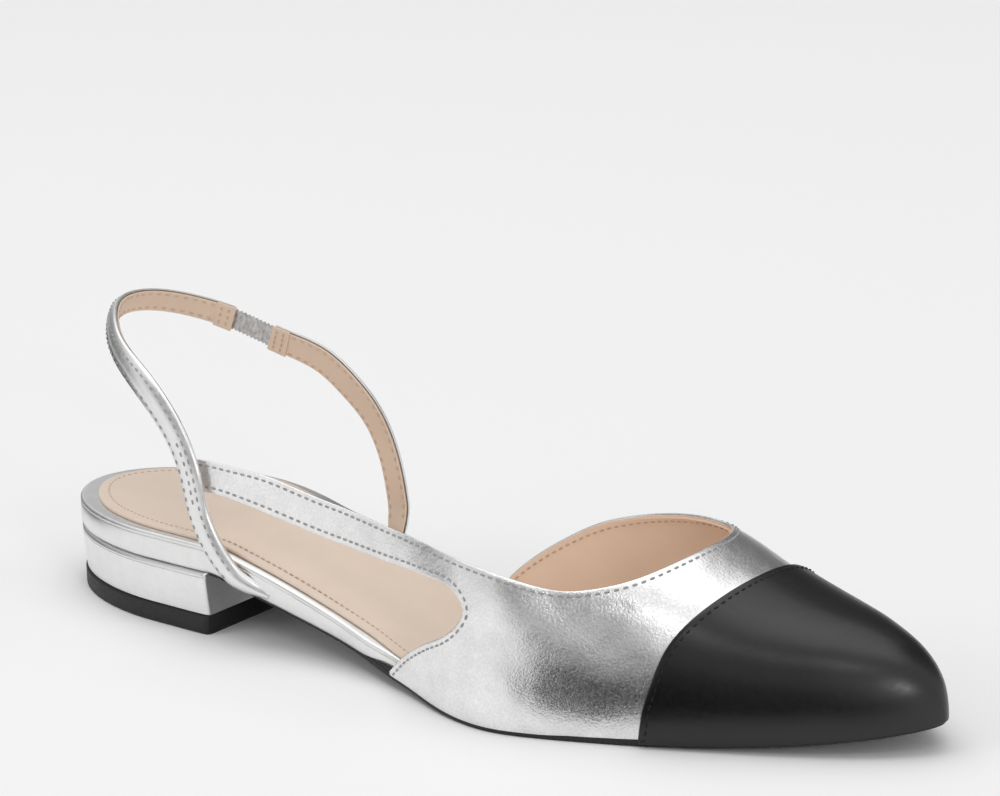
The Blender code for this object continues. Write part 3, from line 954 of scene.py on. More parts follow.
@dataclass
class Wardrobe:
    """Makes each finish's material once."""

    made: dict[str, bpy.types.Material] = field(default_factory=dict)

    def material(self, finish: Leather) -> bpy.types.Material:
        """The material of a finish.

        Args:
            finish: the look.

        Returns:
            Its material, which is made when it is first asked for.
        """
        if finish.name not in self.made:
            self.made[finish.name] = finish.material()
        return self.made[finish.name]


@dataclass
class Piece:
    """Puts finished skins into the scene, smooth but for edges that turn by more than sharp, in radians."""

    wardrobe: Wardrobe
    sharp: float = 0.7

    def add(
        self, name: str, skin: Skin, finish: Leather, slot: Slot, stands_for: Sequence[str] = ()
    ) -> bpy.types.Object:
        """Adds one object that rides on the shoe.

        Args:
            name: the piece's name.
            skin: its shape in millimetres.
            finish: its look.
            slot: the record's slot that it belongs to; not used.
            stands_for: CAD nodes that it replaces.

        Returns:
            The object.
        """
        mesh = bpy.data.meshes.new(name)
        points = (skin.points + SHOE_ORIGIN) * MM
        faces = [face for part in skin.faces for face in part.tolist()]
        mesh.from_pydata(points.tolist(), [], faces)
        mesh.validate()
        mesh.shade_smooth()
        mesh.set_sharp_from_angle(angle=self.sharp)
        mesh.materials.append(self.wardrobe.material(finish))
        piece = bpy.data.objects.new(name, mesh)
        bpy.context.scene.collection.objects.link(piece)
        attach(piece, "root")
        if stands_for:
            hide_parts(*stands_for)
        log.info("%s: %d faces", name, len(mesh.polygons))
        return piece


@dataclass
class Sole:
    """The layers under the foot: tread, heel block, outsole, footbed band and sock.

    The block's rows give height over its foot or its head, and grow. The band's rows give a share of its
    height, a rise over that, and grow.
    """

    last: Last
    piece: Piece
    lift: float = 5.2
    taper: float = 0.4
    tread_edge: float = 0.5
    block_lap: float = 0.2
    corner: float = 1.2
    breast_gap: float = 0.6
    sole_edge: float = 0.45
    sole_inset: float = 0.5
    band_foot: float = 1.0
    waist_turn: float = 5.5
    waist_bell: tuple[float, float] = (0.262, 0.065)
    sock: float = 0.8
    sock_swell: float = 0.2
    sock_gap: float = 0.05
    sock_edge: float = 0.35
    sock_turn: float = 3.4
    sock_bell: tuple[float, float] = (0.26, 0.08)
    stitch_inset: float = 2.7
    stitch_end: float = 0.62
    stitch_lift: float = 0.25
    stitch: Stitch = Stitch(1.25, 0.45, 0.25, 1.9)
    stations: int = 260
    block_foot: Rows = ((0.0, -1.1), (0.15, -0.85), (0.5, -0.78), (3.5, -0.55))
    block_head: Rows = (
        (-4.0, -0.25),
        (-1.75, -0.12),
        (-1.55, -0.14),
        (-1.4, -0.42),
        (-1.25, -0.16),
        (-1.0, -0.10),
        (-0.7, -0.2),
        (-0.4, -0.6),
        (-0.15, -1.3),
        (0.0, -2.2),
    )
    band: Rows = (
        (0.0, 0.0, -1.9),
        (0.0, 0.12, -1.0),
        (0.0, 0.45, -0.35),
        (0.0, 1.1, 0.0),
        (0.5, 0.0, 0.12),
        (1.0, -1.75, 0.02),
        (1.0, -1.45, -0.05),
        (1.0, -1.28, -0.32),
        (1.0, -1.12, -0.08),
        (1.0, -0.85, 0.02),
        (1.0, -0.45, -0.08),
        (1.0, -0.15, -0.38),
        (1.0, 0.0, -0.9),
    )

    def spaced(self, first: float, last: float) -> Array:
        """Stations that lie closer towards both ends, where the outline turns fastest."""
        return first + (last - first) * (1 - np.cos(np.linspace(0, np.pi, self.stations))) / 2

    def far_waist(self, station: Array) -> Array:
        """How far the inner side of the foot turns in at the waist: a bell over the station."""
        return self.waist_turn * bell(station - self.waist_bell[0], self.waist_bell[1])

    def far_sock(self, station: Array) -> Array:
        """How much further in the sock's inner edge runs at the waist: a bell over the station."""
        return self.sock_turn * bell(station - self.sock_bell[0], self.sock_bell[1])

    def layer(
        self,
        station: Array,
        near: list[Array],
        far: list[Array],
        heights: list[Array],
        corner: float = 0.0,
        turn: Sequence[float] | None = None,
    ) -> Array:
        """Cross-section rings of a layer, one at each station.

        A ring goes up the near side, over and down the far side. Each level has its own grow and height.
        Before the last station the sides turn in along a quarter circle of radius corner.

        Args:
            station: rising stations.
            near: grow of each level on the near side, from the bottom up.
            far: the same on the far side.
            heights: Z of each level.
            corner: radius of the corners at the last station.
            turn: share of the far waist's turn that each level takes, all of it by default.

        Returns:
            Array of rings.
        """
        rows = []
        turn = [1.0] * len(heights) if turn is None else turn
        for side, levels in ((-1, near), (1, far[::-1])):
            tops = heights if side < 0 else heights[::-1]
            shares = np.zeros(len(turn)) if side < 0 else turn[::-1]
            for grow, height, share in zip(levels, tops, shares):
                x = self.last.along(station, grow)
                half = self.last.half_width(station, grow)
                if corner:
                    over = np.clip(x - x[-1] + corner, 0, corner)
                    half = half - (corner - np.sqrt(np.maximum(corner**2 - over**2, 0)))
                y = self.last.centre(station) + side * half - share * self.far_waist(station)
                rows.append(np.stack([x, y, height], axis=-1))
        return np.stack(rows, axis=1)[:, ::-1]

    @staticmethod
    def rounded(low: Array, high: Array, radius: float, steps: int = 5) -> tuple[list[Array], list[Array]]:
        """A side with both its edges rounded: a quarter circle, the face, a quarter circle.

        Args:
            low: Z of the side's foot.
            high: Z of its head.
            radius: radius of both edges.
            steps: levels in each quarter circle.

        Returns:
            Grow and height of each level.
        """
        turn = np.linspace(0, np.pi / 2, steps)
        grows = [(np.sin(angle) - 1) * radius + 0 * low for angle in turn]
        bottom = [low + radius * (1 - np.cos(angle)) for angle in turn]
        top = [high - radius * (1 - np.cos(angle)) for angle in turn[::-1]]
        return grows + grows[::-1], bottom + top

    def heel_stations(self) -> Array:
        """Stations of the heel, with the last few close together where the corners turn.

        Returns:
            Stations that end at the breast.
        """
        breast = self.last.breast / self.last.length
        corner = 0.005
        turn = np.linspace(0.15, np.pi / 2, 8)
        run = self.spaced(0.0, breast - corner - 0.001)
        return np.append(run, breast - corner * (1 - np.sin(turn)))

    def build_heel(self) -> None:
        """The black tread and the covered block over it, both with a flat breast."""
        station = self.heel_stations()
        flat = np.zeros_like(station)
        grows, heights = self.rounded(flat, flat + self.lift, self.tread_edge)
        grows = [grow - self.taper for grow in grows]
        rings = self.layer(station, grows, grows, heights, self.corner, [0.0] * len(heights))
        self.piece.add("heel_tread", loft(rings), RUBBER, Slot.RUBBER, ["top_lift"])
        low, high = self.lift + self.last.gap / 2, self.last.heel_height + self.block_lap
        levels = [(low + rise, grow) for rise, grow in self.block_foot]
        levels += [(high + rise, grow) for rise, grow in self.block_head]
        grows = [flat + grow for _, grow in levels]
        heights = [flat + height for height, _ in levels]
        turn = [(height - low) / (high - low) for height, _ in levels]
        rings = self.layer(station, grows, grows, heights, self.corner, turn)
        self.piece.add("heel_cover", loft(rings), SILVER_TRIM, Slot.SILVER, ["heel_block"])

    def build_outsole(self) -> None:
        """The thin black sole, its edge slightly rounded."""
        first = (self.last.breast + self.breast_gap) / self.last.length
        station = np.append(self.spaced(first, 0.9995), 1.0)
        low, high = self.last.underside(station), self.last.outsole_top(station)
        grows, heights = self.rounded(low, high, self.sole_edge)
        edge = self.last.edge_grow(1, station) - self.sole_inset
        sides = [grow + edge for grow in grows]
        rings = self.layer(station, sides, sides, heights)
        self.piece.add("sole_edge", loft(rings), RUBBER, Slot.RUBBER, ["outsole"])

    def build_footbed(self) -> None:
        """The band that wraps the insole board, with a shallow groove under its rolled top edge."""
        breast = self.last.breast / self.last.length
        station = np.concatenate([self.spaced(0.0, breast), self.spaced(breast + 0.001, 1.0)])
        over_block = self.last.heel_height + self.last.gap
        low = np.where(station <= breast, over_block, self.last.underside(station) + self.band_foot)
        high = self.last.footbed_top(station)
        heights = [low + (high - low) * share + rise for share, rise, _ in self.band]
        near_edge, far_edge = self.last.edge_grow(2, station), self.last.edge_grow(3, station)
        near = [near_edge + grow for _, _, grow in self.band]
        far = [far_edge + grow for _, _, grow in self.band]
        rings = self.layer(station, near, far, heights)
        self.piece.add("footbed_band", loft(rings), SILVER_TRIM, Slot.SILVER, ["footbed"])

    def build_sock(self) -> None:
        """The nude sheet under the foot, with a row of stitches inside its edge."""
        station = np.concatenate([[0.0], self.spaced(0.0003, 0.9997), [1.0]])
        low = self.last.footbed_top(station) + self.sock_gap
        grows, heights = self.rounded(low, low + self.sock + self.sock_swell, self.sock_edge, 4)
        edge = self.last.edge_grow(4, station)
        near = [grow + edge for grow in grows]
        far = [grow - self.far_sock(station) for grow in near]
        rings = self.layer(station, near, far, heights)
        self.piece.add("foot_sock", loft(rings), SOCK, Slot.NUDE, ["insole_sock"])
        run = self.spaced(0.0, self.stitch_end)
        top = self.last.footbed_top(run) + self.sock + self.stitch_lift
        grow = self.last.edge_grow(4, run) - self.stitch_inset
        sides = []
        for side in Side:
            y = self.last.centre(run) + side.value * self.last.half_width(run, grow)
            y = y - (side is Side.FAR) * (self.far_waist(run) + self.far_sock(run))
            sides.append(np.stack([self.last.along(run, grow), y, top], axis=-1))
        path = np.concatenate([sides[0][::-1], sides[1][1:]])
        up = np.tile([0.0, 0.0, 1.0], (len(path), 1))
        self.piece.add("sock_stitches", self.stitch.along(path, up), NUDE_THREAD, Slot.NUDE)

    def build(self) -> None:
        """All layers, from the floor up."""
        self.build_heel()
        self.build_outsole()
        self.build_footbed()
        self.build_sock()


@dataclass(frozen=True)
class Crease:
    """A soft fold across the vamp, from one (station, girth) point to another."""

    start: tuple[float, float]
    end: tuple[float, float]
    width: float
    depth: float
    scale: tuple[float, float] = (265.0, 150.0)

    def rise(self, station: Array, girth: Array) -> Array:
        """Height of the fold: a bell over the distance from its line, with the scale in millimetres.

        Args:
            station: share of the foot length.
            girth: share of the way round.

        Returns:
            How far the fold stands out.
        """
        scale = np.array(self.scale)
        start, end = np.array(self.start) * scale, np.array(self.end) * scale
        run = end - start
        place = np.stack([station * scale[0], girth * scale[1]], axis=-1) - start
        share = np.clip((place @ run) / (run @ run), 0, 1)
        away = np.linalg.norm(place - share[..., None] * run, axis=-1)
        return self.depth * bell(away, self.width)


@dataclass
class Vamp:
    """The silver upper with its strip, its lining, its stitches and the black toe cap.

    The panels' rows and columns are counts of steps.
    """

    last: Last
    piece: Piece
    outer_leather: float = 0.8
    lining: float = 0.65
    lining_gap: float = 0.02
    cap: float = 1.0
    lip: float = 0.25
    lining_lip: float = -0.6
    cap_lip: float = 0.3
    stitch_inset: float = 1.25
    stitch_lift: float = 0.05
    lining_stitch_lift: float = 0.12
    cap_inset: float = 1.3
    cap_stitch_lift: float = 0.03
    stitch: Stitch = Stitch(1.5, 0.56, 0.38, 2.3)
    lining_stitch: Stitch = Stitch(1.45, 0.5, 0.3, 2.3)
    cap_stitch: Stitch = Stitch(1.5, 0.52, 0.38, 2.3)
    strip_columns: int = 110
    strip_rows: int = 10
    wing_columns: int = 44
    wing_rows: int = 22
    waist_columns: int = 34
    throat_rows: int = 60
    toe_columns: int = 110
    far_columns: int = 90
    far_rows: int = 40
    cap_columns: int = 90
    seam_points: int = 150
    edge_points: int = 500
    throat_points: int = 400
    creases_start: tuple[float, float] = (0.50, 0.58)
    creases_end: tuple[float, float] = (0.76, 0.79)
    creases: tuple[Crease, ...] = (
        Crease((0.706, 0.234), (0.745, 0.254), 2.0, -0.18),
        Crease((0.640, 0.215), (0.700, 0.150), 6.0, 0.35),
        Crease((0.690, 0.225), (0.735, 0.170), 5.0, -0.30),
        Crease((0.600, 0.160), (0.660, 0.110), 5.0, -0.30),
        Crease((0.670, 0.120), (0.740, 0.100), 4.5, 0.25),
    )

    def surface(self, station: Array, girth: Array, grow: Array = 0.0) -> Array:
        """The last's surface with the vamp's creases raised on it.

        Args:
            station: share of the foot length.
            girth: share of the way round.
            grow: how far outside the surface.

        Returns:
            Points in millimetres.
        """
        rise = sum(crease.rise(station, girth) for crease in self.creases)
        fade = ramp(station, *self.creases_start) * (1 - ramp(station, *self.creases_end))
        return self.last.surface(station, girth, np.asarray(grow, float) + rise * fade)

    @staticmethod
    def to_tip(start: Array, steps: int) -> Array:
        """Grid from an edge to the tip of the toe, with its rows closer together towards the tip."""
        tip = np.stack([np.ones(len(start)), np.linspace(0, 1, len(start))], axis=-1)
        return ruled(start, tip, np.sin(np.linspace(0, np.pi / 2, steps + 1))).transpose(1, 0, 2)

    def near_panels(self, throat_side: Array) -> list[Array]:
        """The near side's grids: the strip, the wing under the cut-out, and the piece before its nose.

        Args:
            throat_side: points from the feather edge up to the throat's near corner.

        Returns:
            Grids of (station, girth).
        """
        cut, top = Edge(CUT_OUT), Edge(TOPLINE)
        end = len(CUT_OUT) - 1
        nose, nose_top = CUT_OUT[NOSE_ROW], TOPLINE[NOSE_ROW]
        nose_foot = (nose[0], 0.0)
        strip = ruled(
            cut.points(0, NOSE_ROW, self.strip_columns),
            top.points(0, NOSE_ROW, self.strip_columns),
            np.linspace(0, 1, self.strip_rows + 1),
        )
        wing = ruled(
            straight((CUT_OUT[end][0], 0.0), nose_foot, self.wing_columns),
            cut.points(NOSE_ROW, end, self.wing_columns)[::-1],
            np.linspace(0, 1, self.wing_rows + 1),
        )
        front = np.concatenate(
            [straight(nose_foot, nose, self.wing_rows), straight(nose, nose_top, self.strip_rows)[1:]]
        )
        middle = coons(
            straight(nose_foot, throat_side[0], self.waist_columns),
            top.points(NOSE_ROW, NEAR_CORNER, self.waist_columns),
            front,
            throat_side,
        )
        return [strip, wing, middle]

    def panels(self) -> list[Array]:
        """The grids that tile the upper: strip, wing, waist, toe and far side.

        Returns:
            Grids of (station, girth) that meet point by point.
        """
        top = Edge(TOPLINE)
        near_corner, far_corner = TOPLINE[NEAR_CORNER], TOPLINE[FAR_CORNER]
        split = CUT_OUT[NOSE_ROW][1] / TOPLINE[NOSE_ROW][1]
        below, above = np.linspace(0, split, self.wing_rows + 1), np.linspace(split, 1, self.strip_rows + 1)
        shares = np.concatenate([below, above[1:]])[:, None]
        corner_foot = np.array([near_corner[0], 0.0])
        throat_side = corner_foot + shares * (near_corner - corner_foot)
        far_foot = (far_corner[0], 1.0)
        throat = top.points(NEAR_CORNER, FAR_CORNER, self.throat_rows)
        far_side = straight(far_corner, far_foot, self.far_rows)
        throat_edge = np.concatenate([throat_side, throat[1:], far_side[1:]])
        last = len(TOPLINE) - 1
        far = ruled(
            top.points(FAR_CORNER, last, self.far_columns)[::-1],
            straight((TOPLINE[last][0], 1.0), far_foot, self.far_columns),
            np.linspace(0, 1, self.far_rows + 1),
        )
        return [*self.near_panels(throat_side), self.to_tip(throat_edge, self.toe_columns), far]

    def build_shell(self) -> None:
        """The silver leather with its turned edge, and the nude lining behind it."""
        panels = self.panels()
        leather = wall(panels, self.surface, 0.0, -self.outer_leather, self.lip)
        self.piece.add("vamp", leather, SILVER, Slot.SILVER, ["upper"])
        inner = -self.outer_leather - self.lining_gap
        lining = wall(panels, self.surface, inner, inner - self.lining, self.lining_lip)
        # The lining's colour is painted lighter than the straps' lining, against the shade inside the upper.
        self.piece.add("vamp_lining", lining, LIGHTENED_VAMP_LINING, Slot.NUDE)

    def inset_path(self, edge: Array, inset: float, grow: float) -> tuple[Array, Array]:
        """A line that runs beside an edge, on its left seen from outside.

        Args:
            edge: (station, girth) points.
            inset: distance from the edge.
            grow: how far outside the surface.

        Returns:
            Points and normals.
        """
        points = self.surface(edge[:, 0], edge[:, 1], grow)
        normals = self.last.normal(edge[:, 0], edge[:, 1])
        along = unit(np.gradient(points, axis=0))
        return points + np.cross(normals, along) * inset, normals

    def build_stitches(self) -> None:
        """Rows along the topline and the cut-out in grey thread, and the topline's row inside."""
        edges = ((TOPLINE, -self.stitch_inset), (CUT_OUT, self.stitch_inset))
        rows = [
            self.inset_path(Edge(edge).whole(self.edge_points), inset, self.stitch_lift)
            for edge, inset in edges
        ]
        self.piece.add("vamp_stitches", self.stitch.beside(rows), GREY_THREAD, Slot.SILVER)
        inside = -self.outer_leather - self.lining - self.lining_stitch_lift
        throat = Edge(TOPLINE).points(NEAR_CORNER, len(TOPLINE) - 1, self.throat_points)
        path, normals = self.inset_path(throat, -self.stitch_inset, inside)
        self.piece.add("lining_stitches", self.lining_stitch.along(path, -normals), NUDE_THREAD, Slot.NUDE)

    def build_cap(self) -> None:
        """The black toe cap with a turned edge and a row of black stitches."""
        seam = Edge(CAP_SEAM).whole(self.seam_points)
        low = self.last.gap
        panel = self.to_tip(seam, self.cap_columns)
        skin = wall([panel], self.last.surface, low + self.cap, low, self.cap_lip)
        self.piece.add("cap", skin, BLACK, Slot.BLACK, ["toe_cap"])
        points = self.last.surface(seam[:, 0], seam[:, 1], low + self.cap + self.cap_stitch_lift)
        normals = self.last.normal(seam[:, 0], seam[:, 1])
        path = points + np.cross(unit(np.gradient(points, axis=0)), normals) * self.cap_inset
        self.piece.add("cap_stitches", self.cap_stitch.along(path, normals), BLACK_THREAD, Slot.BLACK)

    def build(self) -> None:
        """The whole upper."""
        self.build_shell()
        self.build_stitches()
        self.build_cap()


# The strap's middle line from its near foot to its far one: station, side as a share of the ball's half
# width, height over the sole and width as shares of the foot length, and how far the strap leans outwards
SLING = np.array(
    [
        (0.3245, -0.7597, 0.0119, 0.0100, 0.00),
        (0.2900, -0.7652, 0.0163, 0.0210, 0.00),
        (0.2615, -0.7749, 0.0377, 0.0255, 0.00),
        (0.2452, -0.7819, 0.0695, 0.0265, 0.00),
        (0.2382, -0.7888, 0.1037, 0.0275, 0.00),
        (0.2268, -0.7819, 0.1309, 0.0275, 0.08),
        (0.2071, -0.7597, 0.1548, 0.0272, 0.18),
        (0.1650, -0.6988, 0.1867, 0.0270, 0.28),
        (0.1176, -0.5480, 0.2068, 0.0255, 0.32),
        (0.0824, -0.3266, 0.2192, 0.0250, 0.32),
        (0.0578, -0.0782, 0.2241, 0.0245, 0.30),
        (0.0489, 0.1564, 0.2223, 0.0245, 0.26),
        (0.0561, 0.3653, 0.2172, 0.0245, 0.20),
        (0.0792, 0.5224, 0.2094, 0.0245, 0.10),
        (0.1170, 0.6269, 0.1987, 0.0258, 0.05),
        (0.1717, 0.7313, 0.1788, 0.0274, 0.00),
        (0.2193, 0.7832, 0.1633, 0.0299, 0.00),
        (0.2526, 0.7908, 0.1434, 0.0305, 0.00),
        (0.2795, 0.7832, 0.1260, 0.0290, 0.00),
        (0.3049, 0.7569, 0.0932, 0.0275, 0.00),
        (0.3211, 0.7051, 0.0545, 0.0275, 0.00),
        (0.3269, 0.6815, 0.0267, 0.0230, 0.00),
        (0.3290, 0.6725, 0.0101, 0.0130, 0.00),
    ]
)


@dataclass
class Sling:
    """The strap round the back of the ankle, in two lengths with an elastic between them.

    Faces and stitch lifts are heights over the strap's middle. Elastic, box, ends and lap are shares of its
    length, and rows are counts of rings.
    """

    last: Last
    piece: Piece
    outer: tuple[float, float] = (-0.35, 0.58)
    inner: tuple[float, float] = (-0.80, -0.30)
    cuff_faces: tuple[float, float] = (-1.15, -0.60)
    elastic_faces: tuple[float, float] = (-0.45, 0.45)
    edge: float = 0.45
    inner_edge: float = 0.2
    cuff_edge: float = 0.27
    elastic_edge: float = 0.3
    crown: float = 1.4
    inner_crown: float = 0.1
    inner_margin: float = 0.45
    cuff_margin: float = -0.08
    tuck: float = 2.6
    tuck_share: float = 0.05
    elastic: tuple[float, float] = (0.632, 0.686)
    box: tuple[float, float] = (0.142, 0.212)
    box_gap: float = 0.015
    ends: tuple[float, float] = (0.05, 0.03)
    lap: float = 0.002
    strap_rows: int = 240
    lining_rows: int = 160
    stitch_inset: float = 1.6
    lining_inset: float = 1.25
    box_inset: float = 3.0
    stitch_lift: float = 0.6
    lining_lift: float = 0.80
    cuff_lift: float = 1.2
    stitch: Stitch = Stitch(1.45, 0.5, 0.32, 2.5)
    cuff_stitch: Stitch = Stitch(1.0, 0.42, 0.3, 1.5)
    cuff: float = 5.0
    cuff_seams: tuple[float, float] = (0.3, 0.35)
    cuff_reach: float = 0.85
    rib: float = 1.2
    rib_swell: float = 0.22
    scallop: float = 0.5
    elastic_margin: float = 1.0
    elastic_crown: float = 0.05

    def knots(self) -> tuple[Array, Array]:
        """The table's points, and how far along the strap they lie.

        Returns:
            Points in millimetres, and the length along the strap at each of them.
        """
        height = self.last.underside(SLING[:, 0]) + SLING[:, 2] * self.last.length
        places = np.stack([SLING[:, 0] * self.last.length, SLING[:, 1] * self.last.ball, height], axis=-1)
        return places, length_along(places)

    def length(self) -> float:
        """Length of the whole strap."""
        return float(self.knots()[1][-1])

    def path(self, share: Array) -> tuple[Array, Array, Array, Array]:
        """The strap's middle line and the frame that its profile is carried on.

        Args:
            share: shares of the way along the strap.

        Returns:
            Middle points, directions, outward sides and half widths.
        """
        step = 0.004
        places, knots = self.knots()
        knots = knots / knots[-1]
        middle = natural_curve(knots, places, share)
        ahead = natural_curve(knots, places, np.minimum(share + step, 1))
        direction = unit(ahead - natural_curve(knots, places, np.maximum(share - step, 0)))
        back = np.minimum(middle[:, 0] - self.last.heel_end * self.last.length, 0)
        lean = natural_curve(knots, SLING[:, 4:5], share)[:, 0]
        outward = np.stack([back, middle[:, 1], np.hypot(back, middle[:, 1]) * lean], axis=-1)
        outward = unit(outward - (outward * direction).sum(axis=1)[:, None] * direction)
        feet = 1 - ramp(share, 0.0, self.tuck_share) + ramp(share, 1 - self.tuck_share, 1.0)
        half = natural_curve(knots, SLING[:, 3:4], share)[:, 0] * self.last.length / 2
        return middle - outward * (self.tuck * feet)[:, None], direction, outward, half

    def ribbon(
        self, share: Array, faces: tuple[float, float], inset: Array, crown: Array, radius: float
    ) -> Skin:
        """A flat strip along the strap: a rounded rectangle whose faces bow by crown, carried on the path.

        Args:
            share: shares of the way along.
            faces: inner and outer face, as heights over the strap's middle.
            inset: how much narrower than the strap on each side.
            crown: bow of both faces.
            radius: radius of the edges.

        Returns:
            The strip.
        """
        middle, direction, outward, half = self.path(share)
        across = np.cross(direction, outward)
        half = half - inset
        level, rise = (faces[1] + faces[0]) / 2, (faces[1] - faces[0]) / 2
        radius = min(radius, rise)
        turn = np.linspace(0, np.pi / 2, 4)
        corner = [
            (half - radius * (1 - np.cos(angle)), rise - radius * (1 - np.sin(angle))) for angle in turn
        ]
        face = [((half - radius) * (1 - value), rise) for value in np.linspace(0, 1, 5)[1:]]
        rows = []
        for way, flip in ((1, 1), (-1, 1), (-1, -1), (1, -1)):
            part = []
            for wide, high in corner + face:
                bow = crown * (1 - (wide / np.maximum(half, 0.1)) ** 2)
                lift = (level + flip * high + bow)[:, None]
                part.append(middle + across * (way * wide)[:, None] + outward * lift)
            if way * flip < 0:
                part = part[::-1]
            rows += part[1:] if rows else part
        rings = np.stack(rows[:-1], axis=1)
        return loft(rings[:, ::-1])

    def edge_rows(self, share: Array, inset: float, rise: float, crown: float) -> list[tuple[Array, Array]]:
        """The two lines beside the strap's edges, on its crowned outer face or on its flat inner face.

        Args:
            share: shares of the way along.
            inset: distance from the edge.
            rise: height over the strap's middle at its edge.
            crown: bow of the outer face, or 0 for the inner face.

        Returns:
            Points and normals of each line.
        """
        middle, direction, outward, half = self.path(share)
        across = np.cross(direction, outward)
        way = 1 if crown else -1
        wide = np.maximum(half - inset, 0.2)
        lift = way * (rise + crown * (1 - (wide / half) ** 2))
        rows = []
        for side in Side:
            tilt = 2 * crown * side.value * wide / half**2
            points = middle + across * (side.value * wide)[:, None] + outward * lift[:, None]
            rows.append((points, unit(outward * way + across * tilt[:, None])))
        return rows

    def build_strap(self, name: str, first: float, last: float, node: str) -> None:
        """One length of strap: silver outside and stitches beside both its edges.

        Args:
            name: the piece's name.
            first: share of the strap at its start.
            last: share at its end.
            node: CAD node that it replaces.
        """
        share = np.linspace(first, last, self.strap_rows)
        silver = self.ribbon(share, self.outer, 0.0, self.crown, self.edge)
        self.piece.add(name, silver, SILVER_TRIM, Slot.SILVER, [node])
        start, end = self.ends
        run = np.linspace(first + start * (first == 0), last - end * (last == 1), 400)
        rows = self.edge_rows(run, self.stitch_inset, self.stitch_lift, self.crown)
        self.piece.add(name + "_stitches", self.stitch.beside(rows), GREY_THREAD, Slot.SILVER)

    def build_strap_lining(self, name: str, first: float, last: float) -> None:
        """The nude lining inside a length of strap, with stitches beside both its edges.

        Args:
            name: the piece's name.
            first: share of the strap at its start.
            last: share at its end.
        """
        share = np.linspace(first, last, self.lining_rows)
        lining = self.ribbon(share, self.inner, self.inner_margin, self.inner_crown, self.inner_edge)
        self.piece.add(name, lining, LINING, Slot.NUDE)
        start, end = self.ends
        run = np.linspace(max(first, start), last - end * (last == 1), 300)
        rows = self.edge_rows(run, self.lining_inset, self.lining_lift, 0.0)
        self.piece.add(name + "_stitches", self.stitch.beside(rows), NUDE_THREAD, Slot.NUDE)

    def build_box_stitches(self) -> None:
        """The long loop of stitches that fastens the near strap to the end of the strip."""
        middle, direction, outward, half = self.path(np.linspace(*self.box, 60))
        across = np.cross(direction, outward)
        rows = []
        for inset in (self.stitch_inset, self.box_inset):
            wide = half - inset
            lift = self.stitch_lift + self.crown * (1 - (wide / half) ** 2)
            rows.append(middle + across * wide[:, None] + outward * lift[:, None])
        turn = np.linspace(rows[0][0], rows[1][0], 8)[1:-1]
        path = np.concatenate([rows[0][::-1], turn, rows[1]])
        normals = np.concatenate([outward[::-1], np.repeat(outward[:1], len(turn), axis=0), outward])
        self.piece.add("strap_box_stitches", self.stitch.along(path, normals), GREY_THREAD, Slot.SILVER)

    def build_cuff(self, name: str, start: float, end: float) -> None:
        """The lining's end beside the elastic, folded over and sewn down with two rows across it.

        Args:
            name: the piece's name.
            start: share of the strap at its start.
            end: share at its end.
        """
        width = self.cuff / self.length()
        share = np.linspace(start, end, 24)
        cuff = self.ribbon(share, self.cuff_faces, self.cuff_margin, self.inner_crown, self.cuff_edge)
        self.piece.add(name, cuff, LINING, Slot.NUDE)
        seams = np.array([start + width * self.cuff_seams[0], end - width * self.cuff_seams[1]])
        middle, direction, outward, half = self.path(seams)
        across = np.cross(direction, outward)
        reach = np.linspace(-self.cuff_reach, self.cuff_reach, 30)[:, None]
        rows = [
            (
                middle[at] + across[at] * half[at] * reach - outward[at] * self.cuff_lift,
                np.repeat(-outward[at : at + 1], len(reach), axis=0),
            )
            for at in range(len(seams))
        ]
        self.piece.add(name + "_stitches", self.cuff_stitch.beside(rows), NUDE_THREAD, Slot.NUDE)

    def build_elastic(self) -> None:
        """The ribbed gore between the strap ends: each rib swells its faces and scallops its edges."""
        share = np.linspace(self.elastic[0] - 2 * self.lap, self.elastic[1] + 2 * self.lap, 260)
        rib = np.abs(np.sin(np.pi * (share - self.elastic[0]) * self.length() / self.rib))
        margin = self.elastic_margin - self.scallop * rib
        crown = self.elastic_crown + self.rib_swell * rib
        skin = self.ribbon(share, self.elastic_faces, margin, crown, self.elastic_edge)
        self.piece.add("elastic_gore", skin, ELASTIC, Slot.ELASTIC, ["sling_elastic"])

    def build(self) -> None:
        """Both straps, which are lined apart from where the strip is sewn on, and the elastic."""
        near_end, far_start = self.elastic
        width = self.cuff / self.length()
        self.build_strap("sling_near", 0.0, near_end, "sling_strap_lateral")
        self.build_strap("sling_far", far_start, 1.0, "sling_strap_medial")
        self.build_strap_lining("sling_near_foot_lining", 0.0, self.box[0] - self.box_gap)
        self.build_strap_lining("sling_near_lining", self.box[1] + self.box_gap, near_end)
        self.build_strap_lining("sling_far_lining", far_start, 1.0)
        self.build_box_stitches()
        self.build_cuff("cuff_near", near_end - width, near_end + self.lap)
        self.build_cuff("cuff_far", far_start - self.lap, far_start + width)
        self.build_elastic()


@dataclass(frozen=True)
class Lobe:
    """A darker or brighter part of the surroundings: its direction, its reach and its share of the light."""

    azimuth: float
    elevation: float
    reach: float
    shade: float

    def direction(self) -> tuple[float, float, float]:
        """Unit vector towards its middle."""
        azimuth, elevation = np.radians([self.azimuth, self.elevation])
        return (np.cos(elevation) * np.cos(azimuth), np.cos(elevation) * np.sin(azimuth), np.sin(elevation))


